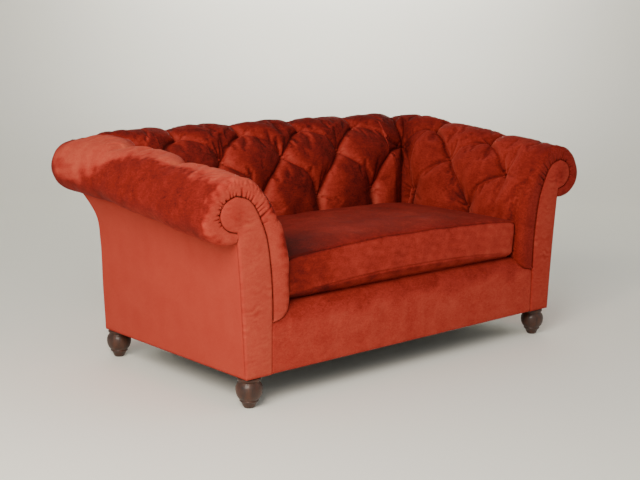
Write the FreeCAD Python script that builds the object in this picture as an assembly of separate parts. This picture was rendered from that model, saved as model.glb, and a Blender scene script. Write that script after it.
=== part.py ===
# Two-seat sofa with scrolled arms, a deep-buttoned back and one loose seat cushion.
# X runs along the front, Y runs from the front to the back, Z is up, in millimetres.
import FreeCAD, Part
import math
import os

os.makedirs("parts", exist_ok=True)
Vector = FreeCAD.Vector

# Overall sizes
base_width = 1425.0
base_depth = 775.0
base_bottom = 98.0
arm_thickness = 171.0
roll_overhang = 152.0
roll_top = 706.0
arm_rise = 68.0
corner_radius = 125.0

# Scroll-cut frame outline of the arms and the back, seen from the front
frame_thickness = 98.0
scroll_radius = 50.0
outside_lean_height = 405.0
outside_lean_front = 20.0
outside_lean_rear = 8.0
panel_drop = 163.0
panel_top_rise = 47.0
panel_out_front = 33.0
panel_out_rear = 60.0
panel_bow_share = 0.09

# Padding, buttons and covers
pad_bottom = 262.0
roll_padding_share = 0.767
button_depth_share = 0.712
button_pitch = 280.0
button_radius = 11.0
button_dome = 5.0
button_shank_radius = 2.0
button_lift = 9.0
corner_button_lift = 20.0
first_arm_button = 152.0
facing_depth = 12.0
panel_thickness = 5.0
lining_thickness = 2.0
cover_thickness = 12.0
dust_cover_thickness = 1.0
dust_cover_inset = 14.0

# Seat
rail_cover_top = 256.0
lip_height = 47.0
lip_depth = 60.0
deck_top = 303.0
cushion_front = 26.0
cushion_side_height = 134.0
cushion_crown = 38.0
cushion_corner = 22.0

# Hardwood frame
board = 30.0
rail_top = 245.0
post_width = 50.0
rib_thickness = 24.0
tack_rail_width = 30.0
tack_rail_depth = 32.0
block_reach = 90.0
webbing_width = 50.0
webbing_thickness = 2.0
webbing_long_count = 8
webbing_cross_count = 4

# Turned feet
foot_radius = 41.0
foot_collar_radius = 36.0
foot_collar_height = 12.0
foot_groove_radius = 32.5
foot_ring_radius = 27.0
foot_ring_height = 6.0
foot_base_radius = 18.0
foot_inset_side = 39.0
foot_inset_front = 36.0
foot_inset_rear = 22.0
plate_size = 56.0
plate_thickness = 3.0
glide_radius = 15.0
glide_thickness = 2.0
bolt_radius = 4.0
bolt_reach = 34.0

# Clearances and small offsets
gap = 0.3
pivot_gap = 14.0
tuck_back = 1.0
neck_back = 2.0
underside_run = 24.0
bolt_gap = 0.2
overrun = 2.0

half_base = base_width / 2
pad_depth = arm_thickness - frame_thickness
roll_padding = pad_depth * roll_padding_share
button_depth = pad_depth * button_depth_share
scroll_overhang = roll_overhang - roll_padding
scroll_top = roll_top - roll_padding
scroll_height = scroll_top - scroll_radius
scroll_bottom = scroll_height - scroll_radius
panel_top_height = roll_top - panel_drop
cushion_bottom = deck_top + gap
post_front = facing_depth + gap
post_back = post_front + board
foot_top = base_bottom - plate_thickness
plate_top = base_bottom
pivot_in = arm_thickness + pivot_gap
pivot_y = base_depth - pivot_in
pivot_x = half_base - pivot_in
full_reach = pivot_in + roll_overhang
inner_half = half_base - arm_thickness
quarter_pitch = button_pitch / 4
lift_full_height = pad_bottom + pad_depth + button_depth
square_reach = pivot_in + panel_out_rear + neck_back

# Padded outline: share inward of the arm's thickness or outward of the overhang,
# share up from the pad's bottom to the roll's top, and share of the padding's depth there
pad_shares = (
    (1.000, 0.000, 1.00),
    (1.000, 0.200, 1.00),
    (0.975, 0.375, 1.10),
    (0.890, 0.580, 1.08),
    (0.680, 0.762, 0.95),
    (0.390, 0.900, 0.80),
    (0.190, 0.968, 0.78),
    (-0.270, 0.998, 0.70),
    (-0.740, 0.912, 0.60),
    (-1.000, 0.755, 0.74),
    (-0.770, 0.600, 0.60),
)
underside_share = (0.556, 0.45)
tuck_height_share = 0.563
pad_swell_shares = (0.0, 0.01, 0.05, 0.07, 0.08, 0.05, 0.06, 0.10, 0.08, 0.08, 0.10, 0.02)

# Frame outline: share inward of the frame's thickness or outward of the scroll's overhang,
# and share up from the pad's bottom to the scroll's top
scroll_left_share = 0.871
frame_top_shares = (-0.42, 1.0)
frame_crown_shares = (0.10, 0.966)
frame_shoulder_shares = (0.67, 0.745)
frame_swell_shares = (-0.05, -0.20, -0.18, -0.06, -0.12, -0.04)
scroll_bottom_out = 16.0

# How far each row of the outline is drawn in, for columns through the buttons of the
# lower and top rows, for columns through the middle row, for the pleats between them and
# for the corner
draw_low_shares = (0.0, 0.25, 1.0, 0.45, 0.0, 0.35, 0.85, 0.40, 0.12, 0.0, 0.0)
draw_middle_shares = (0.0, 0.0, 0.0, 0.40, 1.0, 0.45, 0.10, 0.0, 0.0, 0.0, 0.0)
draw_pleat_shares = (0.0, 0.08, 0.30, 0.45, 0.30, 0.42, 0.25, 0.05, 0.0, 0.0, 0.0)
draw_corner_shares = (0.0, 0.0, 0.0, 0.40, 1.0, 0.50, 0.38, 0.34, 0.22, 0.10, 0.0)
draw_none_shares = (0.0,) * len(pad_shares)
least_button_share = 0.5
button_foot_share = 0.2

# Shares that shape the panels, the rail cover and the hidden frame
least_bow_share = 0.001
rib_bow_share = 0.117
post_neck_share = 0.6
top_rail_in_share = 0.33
top_rail_swell_shares = (-0.18, -0.04, -0.05)
lip_swell_shares = (0.0, -0.19, 0.0, 0.0, 0.15)
edge_roll_swell_shares = (0.0, -0.14)

# Seat cushion, from its left end to its right one
cushion_place_shares = (-1.0, -0.94, -0.70, -0.36, 0.0, 0.36, 0.70, 0.94, 1.0)
cushion_crown_shares = (0.0, 0.30, 0.74, 0.96, 1.0, 0.96, 0.74, 0.30, 0.0)
cushion_draw_shares = (0.55, 0.10, 0.35, 0.5, 0.55, 0.5, 0.35, 0.10, 0.55)
cushion_end_shares = (0.5, 0.0, 0.0, 0.0, 0.0, 0.0, 0.0, 0.0, 0.5)
cushion_bevel_share = 0.6
cushion_front_swell_share = 0.02
cushion_bottom_swell_share = 0.10

# Turned foot
foot_ring_share = 0.37
foot_bore_share = 0.4
foot_taper_shares = (0.62, 0.55)
foot_neck_share = 0.92
foot_ring_swell_share = 0.05

# Stations along the left arm, from the front edge to the mitre at the corner
rear_climb_share = 0.80
front_edges = (1.5, 4.0, 10.0, 22.0, 82.0)
front_swell_shares = (0.14, 0.72, 0.92, 1.0, 1.0)

# The fan of stations round the corner, in degrees
mitre_angle = 45.0
fan_shares = (0.333, 0.70, 0.856, 1.0)
fan_angles = tuple(mitre_angle * share for share in fan_shares)

shapes = {}


def mix(start, end, share):
    return start + (end - start) * share


def inward(share, thickness, overhang):
    return share * (thickness if share > 0 else overhang)


def climb(height, back_share):
    # The arms rise towards the back, all but their foot, which stays level.
    share = min(1.0, max(0.0, (height - pad_bottom) / (lift_full_height - pad_bottom)))
    return height + arm_rise * back_share * share


def side_normal(points, index):
    # Unit normal on the right of the run of points.
    before = points[max(index - 1, 0)]
    after = points[min(index + 1, len(points) - 1)]
    run_in = after[0] - before[0]
    run_up = after[1] - before[1]
    length = math.hypot(run_in, run_up)
    return (run_up / length, -run_in / length)


def moved(points, amounts):
    # Each point moved to the right of the run by its own amount.
    out = []
    for index, (point, amount) in enumerate(zip(points, amounts)):
        normal = side_normal(points, index)
        out.append((point[0] + normal[0] * amount, point[1] + normal[1] * amount))
    return out


def panel_run(back_share):
    # Outer face of the outside panel, from the base up to its tucked top edge.
    lean = mix(outside_lean_front, outside_lean_rear, back_share)
    out = mix(panel_out_front, panel_out_rear, back_share)
    top = panel_top_height + panel_top_rise * back_share
    return [(0.0, base_bottom), (-lean, outside_lean_height), (-out, top)]


def frame_run(back_share):
    # Frame outline from the neck round the scroll and down the inner face to the pad's bottom.
    height = scroll_top - pad_bottom
    panel_top = panel_run(back_share)[-1]
    neck = (panel_top[0] - neck_back, panel_top[1] + tuck_back)
    low = (neck[0] - scroll_bottom_out, climb(scroll_bottom, back_share))
    left = (-scroll_overhang, climb(pad_bottom + height * scroll_left_share, back_share))
    run = [neck, low, left]
    for share_in, share_up in (frame_top_shares, frame_crown_shares, frame_shoulder_shares):
        place_in = inward(share_in, frame_thickness, scroll_overhang)
        run.append((place_in, climb(pad_bottom + height * share_up, back_share)))
    run.append((frame_thickness, pad_bottom))
    return run


def pad_run(back_share, draw_shares, swell):
    # Padded outline from the pad's bottom up, over the roll and down to its tuck.
    height = roll_top - pad_bottom
    points = []
    for share_in, share_up, _ in pad_shares:
        place_in = inward(share_in, arm_thickness, roll_overhang)
        points.append((place_in, climb(pad_bottom + height * share_up, back_share)))
    panel_top = panel_run(back_share)[-1]
    tuck_in = panel_top[0] + tuck_back
    under_up = climb(pad_bottom + height * underside_share[0], back_share)
    points.append((tuck_in - underside_run, under_up))
    points.append((tuck_in, climb(pad_bottom + height * tuck_height_share, back_share)))
    amounts = []
    for (_, _, depth_share), draw in zip(pad_shares, draw_shares):
        amounts.append(-pad_depth * depth_share * (1 - swell) - button_depth * draw)
    amounts.append(-pad_depth * underside_share[1] * (1 - swell))
    amounts.append(0.0)
    drawn = moved(points, amounts)
    drawn[0] = (points[0][0] + amounts[0], points[0][1])
    drawn[-1] = points[-1]
    return drawn


def arm_place(side, y):
    return lambda u, z: Vector(side * (half_base - u), y, z)


def back_place(x):
    return lambda u, z: Vector(x, base_depth - u, z)


def fan_place(side, angle):
    # A plane that turns about the inside corner of the seat, with the roll's corner rounded.
    turn = math.radians(angle)
    out_x = math.cos(turn)
    out_y = math.sin(turn)

    def place(u, z):
        reach = pivot_in - u
        radius = corner_radius * max(0.0, reach - square_reach) / (full_reach - square_reach)
        distance = reach / max(out_x, out_y)
        if distance * min(out_x, out_y) > reach - radius:
            centre = reach - radius
            along = centre * (out_x + out_y)
            distance = along + math.sqrt(along ** 2 - 2 * centre ** 2 + radius ** 2)
        return Vector(side * (pivot_x + distance * out_x), pivot_y + distance * out_y, z)

    return place


def ring(points, swells, place):
    # A closed wire of lines and arcs; each swell is to the right of its run.
    edges = []
    for index, start in enumerate(points):
        end = points[(index + 1) % len(points)]
        swell = swells[index] if index < len(swells) else 0.0
        if swell:
            middle = (
                (start[0] + end[0]) / 2 + (end[1] - start[1]) * swell,
                (start[1] + end[1]) / 2 - (end[0] - start[0]) * swell,
            )
            edges.append(Part.Arc(place(*start), place(*middle), place(*end)).toShape())
        else:
            edges.append(Part.LineSegment(place(*start), place(*end)).toShape())
    return Part.Wire(edges)


def loft(rings):
    solid = Part.makeLoft(rings, True, True)
    if solid.Volume < 0:
        solid.reverse()
    return solid


def box(x_low, x_high, y_low, y_high, z_low, z_high):
    corner = Vector(x_low, y_low, z_low)
    return Part.makeBox(x_high - x_low, y_high - y_low, z_high - z_low, corner)


def mirrored(shape):
    return shape.mirror(Vector(0, 0, 0), Vector(1, 0, 0))


def keep_pair(name, left):
    shapes["left_" + name] = left
    shapes["right_" + name] = mirrored(left)


def climb_at(y):
    return rear_climb_share * max(0.0, y - post_front) / (pivot_y - post_front)


def fan_climb(angle):
    return mix(rear_climb_share, 1.0, min(1.0, angle / mitre_angle))


def button_rows(draws):
    # The rows of the outline where a column of these draws has its buttons.
    return [row for row, share in enumerate(draws) if share > least_button_share]


low_rows = button_rows(draw_low_shares)
middle_rows = button_rows(draw_middle_shares)


def arm_stations():
    stations = []
    for y, swell in zip(front_edges, front_swell_shares):
        stations.append((arm_place(-1, y), climb_at(y), draw_none_shares, swell, ()))
    kinds = (
        (draw_middle_shares, middle_rows),
        (draw_pleat_shares, ()),
        (draw_low_shares, low_rows),
        (draw_pleat_shares, ()),
    )
    index = 0
    y = first_arm_button
    while y < pivot_y - button_radius:
        draws, rows = kinds[index % len(kinds)]
        stations.append((arm_place(-1, y), climb_at(y), draws, 1.0, rows))
        index += 1
        y += quarter_pitch
    stations.append((arm_place(-1, pivot_y), rear_climb_share, draw_pleat_shares, 1.0, ()))
    fan_draws = (draw_pleat_shares, draw_none_shares, draw_pleat_shares, draw_corner_shares)
    for angle, draws in zip(fan_angles, fan_draws):
        stations.append((fan_place(-1, angle), fan_climb(angle), draws, 1.0, ()))
    return stations


def back_half_stations():
    # From the mitre on the left to the middle of the back.
    stations = [
        (fan_place(-1, mitre_angle), 1.0, draw_corner_shares, 1.0, middle_rows),
        (fan_place(-1, 2 * mitre_angle - fan_angles[2]), 1.0, draw_pleat_shares, 1.0, ()),
        (fan_place(-1, 2 * mitre_angle - fan_angles[1]), 1.0, draw_low_shares, 1.0, low_rows[1:]),
        (fan_place(-1, 2 * mitre_angle - fan_angles[0]), 1.0, draw_pleat_shares, 1.0, ()),
        (back_place(-pivot_x), 1.0, draw_pleat_shares, 1.0, ()),
    ]
    kinds = (
        (draw_middle_shares, middle_rows),
        (draw_pleat_shares, ()),
        (draw_low_shares, low_rows),
        (draw_pleat_shares, ()),
    )
    count = int((pivot_x - quarter_pitch / 2) / quarter_pitch)
    for index in range(count, -1, -1):
        draws, rows = kinds[index % len(kinds)]
        stations.append((back_place(-index * quarter_pitch), 1.0, draws, 1.0, rows))
    return stations


def pad_ring(station):
    place, back_share, draws, swell, _ = station
    outer = pad_run(back_share, draws, swell)
    frame = frame_run(back_share)
    inner = moved(frame, [-gap] * len(frame))
    inner[-1] = (frame_thickness + gap, pad_bottom)
    swells = pad_swell_shares + (0.0,) + frame_swell_shares
    return ring(outer + inner, swells, place)


def button(place, back_share, draws, row, lift):
    # A covered button on its shank, standing in the pit that it pulls.
    lift = lift * draws[row]
    run = pad_run(back_share, draws, 1.0)
    full = pad_run(back_share, draw_none_shares, 1.0)
    pit = run[row]
    length = math.hypot(full[row][0] - pit[0], full[row][1] - pit[1])
    out = ((full[row][0] - pit[0]) / length, (full[row][1] - pit[1]) / length)
    low = place(*pit)
    high = place(pit[0] + out[0] * lift, pit[1] + out[1] * lift)
    axis = high.sub(low)
    axis.normalize()
    foot = lift * button_foot_share
    shank = Part.makeCylinder(button_shank_radius, lift, low + axis * foot, axis)
    middle = low + axis * (lift + foot)
    dome = Part.makeCone(button_radius, button_radius / 2, button_dome, middle, axis)
    return shank.fuse(dome).removeSplitter()


def build_pads():
    arm = arm_stations()
    keep_pair("arm_pad", loft([pad_ring(station) for station in arm]))
    half = back_half_stations()
    whole = [pad_ring(station) for station in half]
    for wire in reversed(whole[:-1]):
        whole.append(mirrored(wire))
    shapes["back_pad"] = loft(whole)
    arm_buttons = []
    for place, back_share, draws, swell, rows in arm:
        arm_buttons += [button(place, back_share, draws, row, button_lift) for row in rows]
    keep_pair("arm_buttons", Part.makeCompound(arm_buttons))
    back_buttons = []
    for index, (place, back_share, draws, swell, rows) in enumerate(half):
        lift = button_lift if index else corner_button_lift
        back_buttons += [button(place, back_share, draws, row, lift) for row in rows]
    on_centre = len(half[-1][4])
    pairs = back_buttons[:-on_centre]
    back_buttons += [mirrored(shape) for shape in pairs]
    shapes["back_buttons"] = Part.makeCompound(back_buttons)


def frame_ring(back_share, place, inset):
    # The whole scroll-cut outline of a post, down to the base.
    outside = moved(panel_run(back_share), [panel_thickness + 2 * gap] * 3)
    outside[0] = (panel_thickness + 2 * gap, base_bottom)
    frame = moved(frame_run(back_share), [inset] * 7)
    frame[-1] = (frame_thickness - inset, pad_bottom)
    foot = (frame_thickness - inset, base_bottom)
    points = outside + frame[1:] + [foot]
    bow = panel_bow_share * back_share + least_bow_share
    swells = (0.0, bow, 0.0) + frame_swell_shares[1:]
    return ring(points, swells, place)


def facing_ring(y):
    # The front panel shows the full outline, out to the side of the base.
    points = panel_run(0.0) + frame_run(0.0)[1:] + [(frame_thickness, base_bottom)]
    swells = (0.0, 0.0, 0.0) + frame_swell_shares[1:]
    return ring(points, swells, arm_place(-1, y))


def panel_ring(back_share, place):
    # A thin panel, straight below and bowed inwards under the roll.
    run = panel_run(back_share)
    bow = panel_bow_share * back_share + least_bow_share
    inner = [(u + panel_thickness, z) for u, z in reversed(run)]
    return ring(run + inner, (0.0, bow, 0.0, -bow), place)


def build_covers():
    keep_pair("scroll_facing", loft([facing_ring(0.0), facing_ring(facing_depth)]))

    def side_mitre(u, z):
        return Vector(-(half_base - u), base_depth - u - gap, z)

    def back_mitre(side):
        return lambda u, z: Vector(side * (half_base - u), base_depth - u, z)

    front = arm_place(-1, facing_depth + gap)
    side = loft([panel_ring(0.0, front), panel_ring(1.0, side_mitre)])
    keep_pair("outside_arm_panel", side)
    ends = [back_mitre(-1), back_mitre(1)]
    shapes["outside_back_panel"] = loft([panel_ring(1.0, end) for end in ends])

    half_cover = half_base - frame_thickness - gap
    half_lip = inner_half - gap
    run = [
        (0.0, base_bottom),
        (0.0, rail_cover_top),
        (lip_depth - panel_thickness, rail_cover_top + lip_height),
        (lip_depth, rail_cover_top + lip_height),
        (lip_depth, rail_cover_top + lip_height - panel_thickness),
        (cover_thickness, rail_cover_top),
        (cover_thickness, base_bottom),
    ]

    def cover_place(x):
        return lambda y, z: Vector(x, y, z)

    ends = [cover_place(-half_cover), cover_place(half_cover)]
    cover = loft([ring(run, lip_swell_shares, place) for place in ends])
    for side in (-1, 1):
        inner = side * half_lip
        outer = side * (half_cover + overrun)
        waste = box(
            min(inner, outer),
            max(inner, outer),
            -overrun,
            lip_depth + overrun,
            pad_bottom - gap,
            deck_top + overrun,
        )
        cover = cover.cut(waste)
    shapes["front_rail_cover"] = cover.removeSplitter()
    core = [
        (cover_thickness + gap, rail_top + gap),
        (cover_thickness + gap, rail_cover_top),
        (lip_depth, rail_cover_top + lip_height - panel_thickness - gap),
        (lip_depth, rail_top + gap),
    ]
    ends = [cover_place(-half_lip), cover_place(half_lip)]
    shapes["seat_edge_roll"] = loft([ring(core, edge_roll_swell_shares, place) for place in ends])


def build_frame():
    outer = half_base - panel_thickness - gap
    rail_y = base_depth - panel_thickness - gap
    front_half = half_base - frame_thickness
    cover_back = cover_thickness + gap
    shapes["front_rail"] = box(
        -front_half, front_half, cover_back, cover_back + board, base_bottom, rail_top
    )
    post_in = outer - post_width
    shapes["rear_rail"] = box(-post_in, post_in, rail_y - board, rail_y, base_bottom, rail_top)
    side_top = rail_top - webbing_thickness
    side_rail = box(-outer, -outer + board, post_back, rail_y - post_width, base_bottom, side_top)
    keep_pair("side_rail", side_rail)
    post = loft([frame_ring(climb_at(y), arm_place(-1, y), gap) for y in (post_front, post_back)])
    bolt_hole = Part.makeCylinder(
        bolt_radius + bolt_gap,
        bolt_reach + overrun,
        Vector(-half_base + foot_inset_side, foot_inset_front, base_bottom - overrun),
    )
    keep_pair("front_post", post.cut(bolt_hole))

    nearest = math.atan2(rail_y - post_width - pivot_y, outer - pivot_x)
    block_low = climb(scroll_height, fan_climb(math.degrees(nearest)))
    shoulder_up = climb(mix(pad_bottom, scroll_top, frame_shoulder_shares[1]), rear_climb_share)
    neck_width = post_width * post_neck_share
    rear_post = box(-outer, -post_in, rail_y - post_width, rail_y, base_bottom, shoulder_up)
    post_neck = box(
        -outer, -outer + neck_width, rail_y - neck_width, rail_y, shoulder_up, block_low
    )
    rear_post = rear_post.fuse(post_neck).removeSplitter()
    rear_hole = Part.makeCylinder(
        bolt_radius + bolt_gap,
        bolt_reach + overrun,
        Vector(-half_base + foot_inset_side, base_depth - foot_inset_rear, base_bottom - overrun),
    )
    keep_pair("rear_post", rear_post.cut(rear_hole))

    blocks = []
    block_high = rail_top - board
    for side_x in (-1, 1):
        for y, turn in ((post_back, 1), (rail_y - post_width, -1)):
            corner_x = side_x * (outer - board)
            points = [
                Vector(corner_x, y, base_bottom + board),
                Vector(corner_x - side_x * block_reach, y, base_bottom + board),
                Vector(corner_x, y + turn * block_reach, base_bottom + board),
            ]
            face = Part.Face(Part.makePolygon(points + points[:1]))
            blocks.append(face.extrude(Vector(0, 0, block_high - base_bottom - board)))
    shapes["corner_blocks"] = Part.makeCompound(blocks)
    shapes["seat_cross_rail"] = box(
        -board / 2, board / 2, cover_back + board, rail_y - board, base_bottom + board, block_high
    )


def top_rail_ring(back_share, place):
    # A rounded top rail that fills the upper half of the scroll.
    frame = moved(frame_run(back_share), [gap] * 7)
    level = climb(scroll_height, back_share)
    left = (frame[2][0], level)
    points = [left, frame[3], frame[4], (frame_thickness * top_rail_in_share, level)]
    return ring(points, top_rail_swell_shares, place)


def build_upper_frame():
    rear = (arm_place(-1, pivot_y), rear_climb_share)
    front = (arm_place(-1, post_back), climb_at(post_back))
    keep_pair("arm_top_rail", loft([top_rail_ring(share, place) for place, share in (front, rear)]))
    ends = [back_place(-pivot_x), back_place(pivot_x)]
    shapes["back_top_rail"] = loft([top_rail_ring(1.0, place) for place in ends])
    angles = (0.0,) + fan_angles + tuple(2 * mitre_angle - a for a in fan_angles[-2::-1])
    angles += (2 * mitre_angle,)
    rings = []
    for angle in angles:
        rings.append(top_rail_ring(fan_climb(angle), fan_place(-1, angle)))
    keep_pair("top_corner_block", loft(rings))

    def rib(place_low, place_high, share_low, share_high):
        rings = []
        for place, share in ((place_low, share_low), (place_high, share_high)):
            outside = moved(panel_run(share), [panel_thickness + gap] * 3)
            level = climb(scroll_height, share)
            shoulder = frame_run(share)[5]
            tack_in = frame_thickness - lining_thickness - gap
            points = [
                (outside[0][0], rail_top),
                (outside[1][0], outside[1][1]),
                (outside[2][0] + panel_thickness, outside[2][1] - panel_thickness),
                (outside[2][0] + panel_thickness, level),
                (frame_thickness * top_rail_in_share - gap, level),
                (shoulder[0] - lining_thickness * 2, shoulder[1]),
                (tack_in - lining_thickness * 2, pad_bottom + tack_rail_width),
                (tack_in - tack_rail_depth, pad_bottom + tack_rail_width),
                (tack_in - tack_rail_depth, rail_top),
            ]
            bow = rib_bow_share * share + least_bow_share
            rings.append(ring(points, (0.0, bow), place))
        return loft(rings)

    rib_y = first_arm_button + button_pitch
    y_low = rib_y - rib_thickness / 2
    y_high = rib_y + rib_thickness / 2
    arm_rib = rib(arm_place(-1, y_low), arm_place(-1, y_high), climb_at(y_low), climb_at(y_high))
    keep_pair("arm_rib", arm_rib)
    for name, x in (("left_back_rib", -button_pitch), ("right_back_rib", button_pitch)):
        places = [back_place(x - rib_thickness / 2), back_place(x + rib_thickness / 2)]
        shapes[name] = rib(places[0], places[1], 1.0, 1.0)

    tack_in = frame_thickness - lining_thickness - gap
    tack_top = pad_bottom + tack_rail_width
    tack_out = tack_in - tack_rail_depth
    keep_pair(
        "arm_tack_rail",
        box(
            -half_base + tack_out,
            -half_base + tack_in,
            post_back,
            base_depth - tack_in - gap,
            pad_bottom,
            tack_top,
        ),
    )
    shapes["back_tack_rail"] = box(
        -half_base + tack_out,
        half_base - tack_out,
        base_depth - tack_in,
        base_depth - tack_out,
        pad_bottom,
        tack_top,
    )

    def lining_ring(place, share):
        frame = moved(frame_run(share), [gap] * 7)
        shoulder = frame[5]
        foot = (frame_thickness - gap, pad_bottom)
        points = [
            shoulder,
            foot,
            (foot[0] - lining_thickness, pad_bottom),
            (shoulder[0] - lining_thickness, shoulder[1]),
        ]
        return ring(points, (frame_swell_shares[5], 0.0, -frame_swell_shares[5]), place)

    keep_pair("arm_lining", loft([lining_ring(place, share) for place, share in (front, rear)]))
    shapes["back_lining"] = loft([lining_ring(place, 1.0) for place in ends])


def build_seat():
    rail_y = base_depth - panel_thickness - gap
    straps = []
    deck_half = inner_half - gap
    strap_low = rail_top
    strap_high = rail_top + webbing_thickness
    front_y = cover_thickness + gap + board / 2
    for index in range(webbing_long_count):
        x = mix(-deck_half, deck_half, (2 * index + 1) / (2 * webbing_long_count))
        half = webbing_width / 2
        straps.append(box(x - half, x + half, lip_depth + gap, rail_y, strap_low, strap_high))
    shapes["seat_webbing_long"] = Part.makeCompound(straps)
    cross = []
    side_outer = half_base - panel_thickness - gap
    span = (lip_depth + webbing_width, pivot_y)
    for index in range(webbing_cross_count):
        y = mix(span[0], span[1], index / (webbing_cross_count - 1))
        half = webbing_width / 2
        cross.append(
            box(-side_outer, side_outer, y - half, y + half, strap_low - webbing_thickness, strap_low)
        )
    shapes["seat_webbing_cross"] = Part.makeCompound(cross)
    deck_back = base_depth - arm_thickness - gap
    shapes["seat_deck"] = box(
        -deck_half, deck_half, lip_depth + gap, deck_back, strap_high, deck_top
    )


def build_cushion():
    # A crowned bench cushion whose sides draw in between its corners.
    half = inner_half - 2 * gap
    back_y = base_depth - arm_thickness - 2 * gap
    depth = back_y - cushion_front
    stations = zip(
        cushion_place_shares, cushion_crown_shares, cushion_draw_shares, cushion_end_shares
    )
    rings = []
    for place_share, crown_share, draw_share, end_share in stations:
        x = place_share * half
        draw = cushion_corner * draw_share
        low = cushion_bottom + cushion_corner * end_share
        side = cushion_side_height - cushion_corner * end_share
        front = cushion_front + draw
        back = back_y - draw / 2
        bevel = cushion_corner * cushion_bevel_share
        seam = low + side - cushion_corner * end_share
        points = [
            (front, low + bevel),
            (front, seam),
            (back, seam),
            (back, low + bevel),
            (back - bevel, low),
            (front + bevel, low),
        ]
        top_swell = -(cushion_crown * crown_share + gap) / (back - front)
        front_swell = -draw / 2 / side - cushion_front_swell_share
        bevel_swell = -cushion_bottom_swell_share
        swells = (front_swell, top_swell, 0.0, bevel_swell, 0.0, bevel_swell)

        rings.append(ring(points, swells, lambda y, z: Vector(x, y, z)))
    shapes["seat_cushion"] = loft(rings)


def build_base():
    ball_top = foot_top - foot_collar_height
    ring_level = ball_top * foot_ring_share
    ring_low = ring_level - foot_ring_height
    taper_radius = mix(foot_base_radius, foot_ring_radius, foot_taper_shares[0])
    neck_radius = foot_ring_radius * foot_neck_share
    ring_swell = foot_ring_radius * foot_ring_swell_share

    def at(radius, height):
        return Vector(radius, 0, height)

    base_edge = at(foot_base_radius, glide_thickness)
    taper = at(taper_radius, ring_low * foot_taper_shares[1])
    neck = at(neck_radius, ring_low)
    ring_edge = at(foot_ring_radius, ring_low)
    ring_middle = at(foot_ring_radius + ring_swell, (ring_low + ring_level) / 2)
    ring_top = at(foot_ring_radius, ring_level)
    ball_middle = at(foot_radius, (ball_top + ring_level) / 2)
    ball_edge = at(foot_groove_radius, ball_top)
    collar_middle = at(foot_collar_radius, (ball_top + foot_top) / 2)
    collar_edge = at(foot_groove_radius, foot_top)
    profile = [
        Part.LineSegment(at(0, glide_thickness), base_edge),
        Part.Arc(base_edge, taper, neck),
        Part.LineSegment(neck, ring_edge),
        Part.Arc(ring_edge, ring_middle, ring_top),
        Part.Arc(ring_top, ball_middle, ball_edge),
        Part.Arc(ball_edge, collar_middle, collar_edge),
        Part.LineSegment(collar_edge, at(0, foot_top)),
        Part.LineSegment(at(0, foot_top), at(0, glide_thickness)),
    ]
    outline = Part.Wire([curve.toShape() for curve in profile])
    turned = Part.Face(outline).revolve(Vector(0, 0, 0), Vector(0, 0, 1), 360)
    hole_depth = foot_top * foot_bore_share
    hole = Part.makeCylinder(
        bolt_radius + bolt_gap, hole_depth + overrun, Vector(0, 0, foot_top - hole_depth)
    )
    turned = turned.cut(hole)
    plates = []
    bolts = []
    glides = []
    places = {
        "front_left_foot": (-1, foot_inset_front),
        "front_right_foot": (1, foot_inset_front),
        "rear_left_foot": (-1, base_depth - foot_inset_rear),
        "rear_right_foot": (1, base_depth - foot_inset_rear),
    }
    dust = box(
        -half_base + dust_cover_inset,
        half_base - dust_cover_inset,
        dust_cover_inset,
        base_depth - dust_cover_inset,
        base_bottom - dust_cover_thickness,
        base_bottom,
    )
    for name, (side, y) in places.items():
        x = side * (half_base - foot_inset_side)
        centre = Vector(x, y, 0)
        shapes[name] = turned.translated(centre)
        half = plate_size / 2
        plate_y = min(max(y, half + panel_thickness), base_depth - half - panel_thickness)
        plate = box(x - half, x + half, plate_y - half, plate_y + half, foot_top, plate_top)
        bore = Part.makeCylinder(
            bolt_radius + bolt_gap, plate_thickness + 2 * overrun, Vector(x, y, foot_top - overrun)
        )
        plates.append(plate.cut(bore))
        grown = half + gap
        dust = dust.cut(
            box(x - grown, x + grown, plate_y - grown, plate_y + grown, foot_top, plate_top + overrun)
        )
        bolt_low = foot_top - hole_depth + gap
        bolt_high = base_bottom + bolt_reach - gap
        bolt = Part.makeCylinder(bolt_radius, bolt_high - bolt_low, Vector(x, y, bolt_low))
        bolts.append(bolt)
        glides.append(Part.makeCylinder(glide_radius, glide_thickness, centre))
    shapes["dust_cover"] = dust
    shapes["foot_plates"] = Part.makeCompound(plates)
    shapes["foot_bolts"] = Part.makeCompound(bolts)
    shapes["foot_glides"] = Part.makeCompound(glides)


build_pads()
build_covers()
build_frame()
build_upper_frame()
build_seat()
build_cushion()
build_base()

# The origin is on the floor, under the middle of the sofa's whole depth.
front_most = min(0.0, foot_inset_front - foot_radius)
rear_most = base_depth + roll_overhang
shift = Vector(0, -(front_most + rear_most) / 2, 0)
for name, shape in shapes.items():
    placed = shape.translated(shift)
    if not placed.isValid():
        print("not valid", name)
    placed.exportStep("parts/" + name + ".step")
print(len(shapes), "parts written, moved by", round(shift.y, 2))
for name in ("back_pad", "left_arm_pad", "seat_cushion", "front_left_foot"):
    extent = shapes[name].translated(shift).BoundBox
    low = [round(v, 1) for v in (extent.XMin, extent.YMin, extent.ZMin)]
    high = [round(v, 1) for v in (extent.XMax, extent.YMax, extent.ZMax)]
    print(name, low, high)
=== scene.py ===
import math
import bmesh
import bpy
import numpy as np
from mathutils import Matrix, Vector


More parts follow.
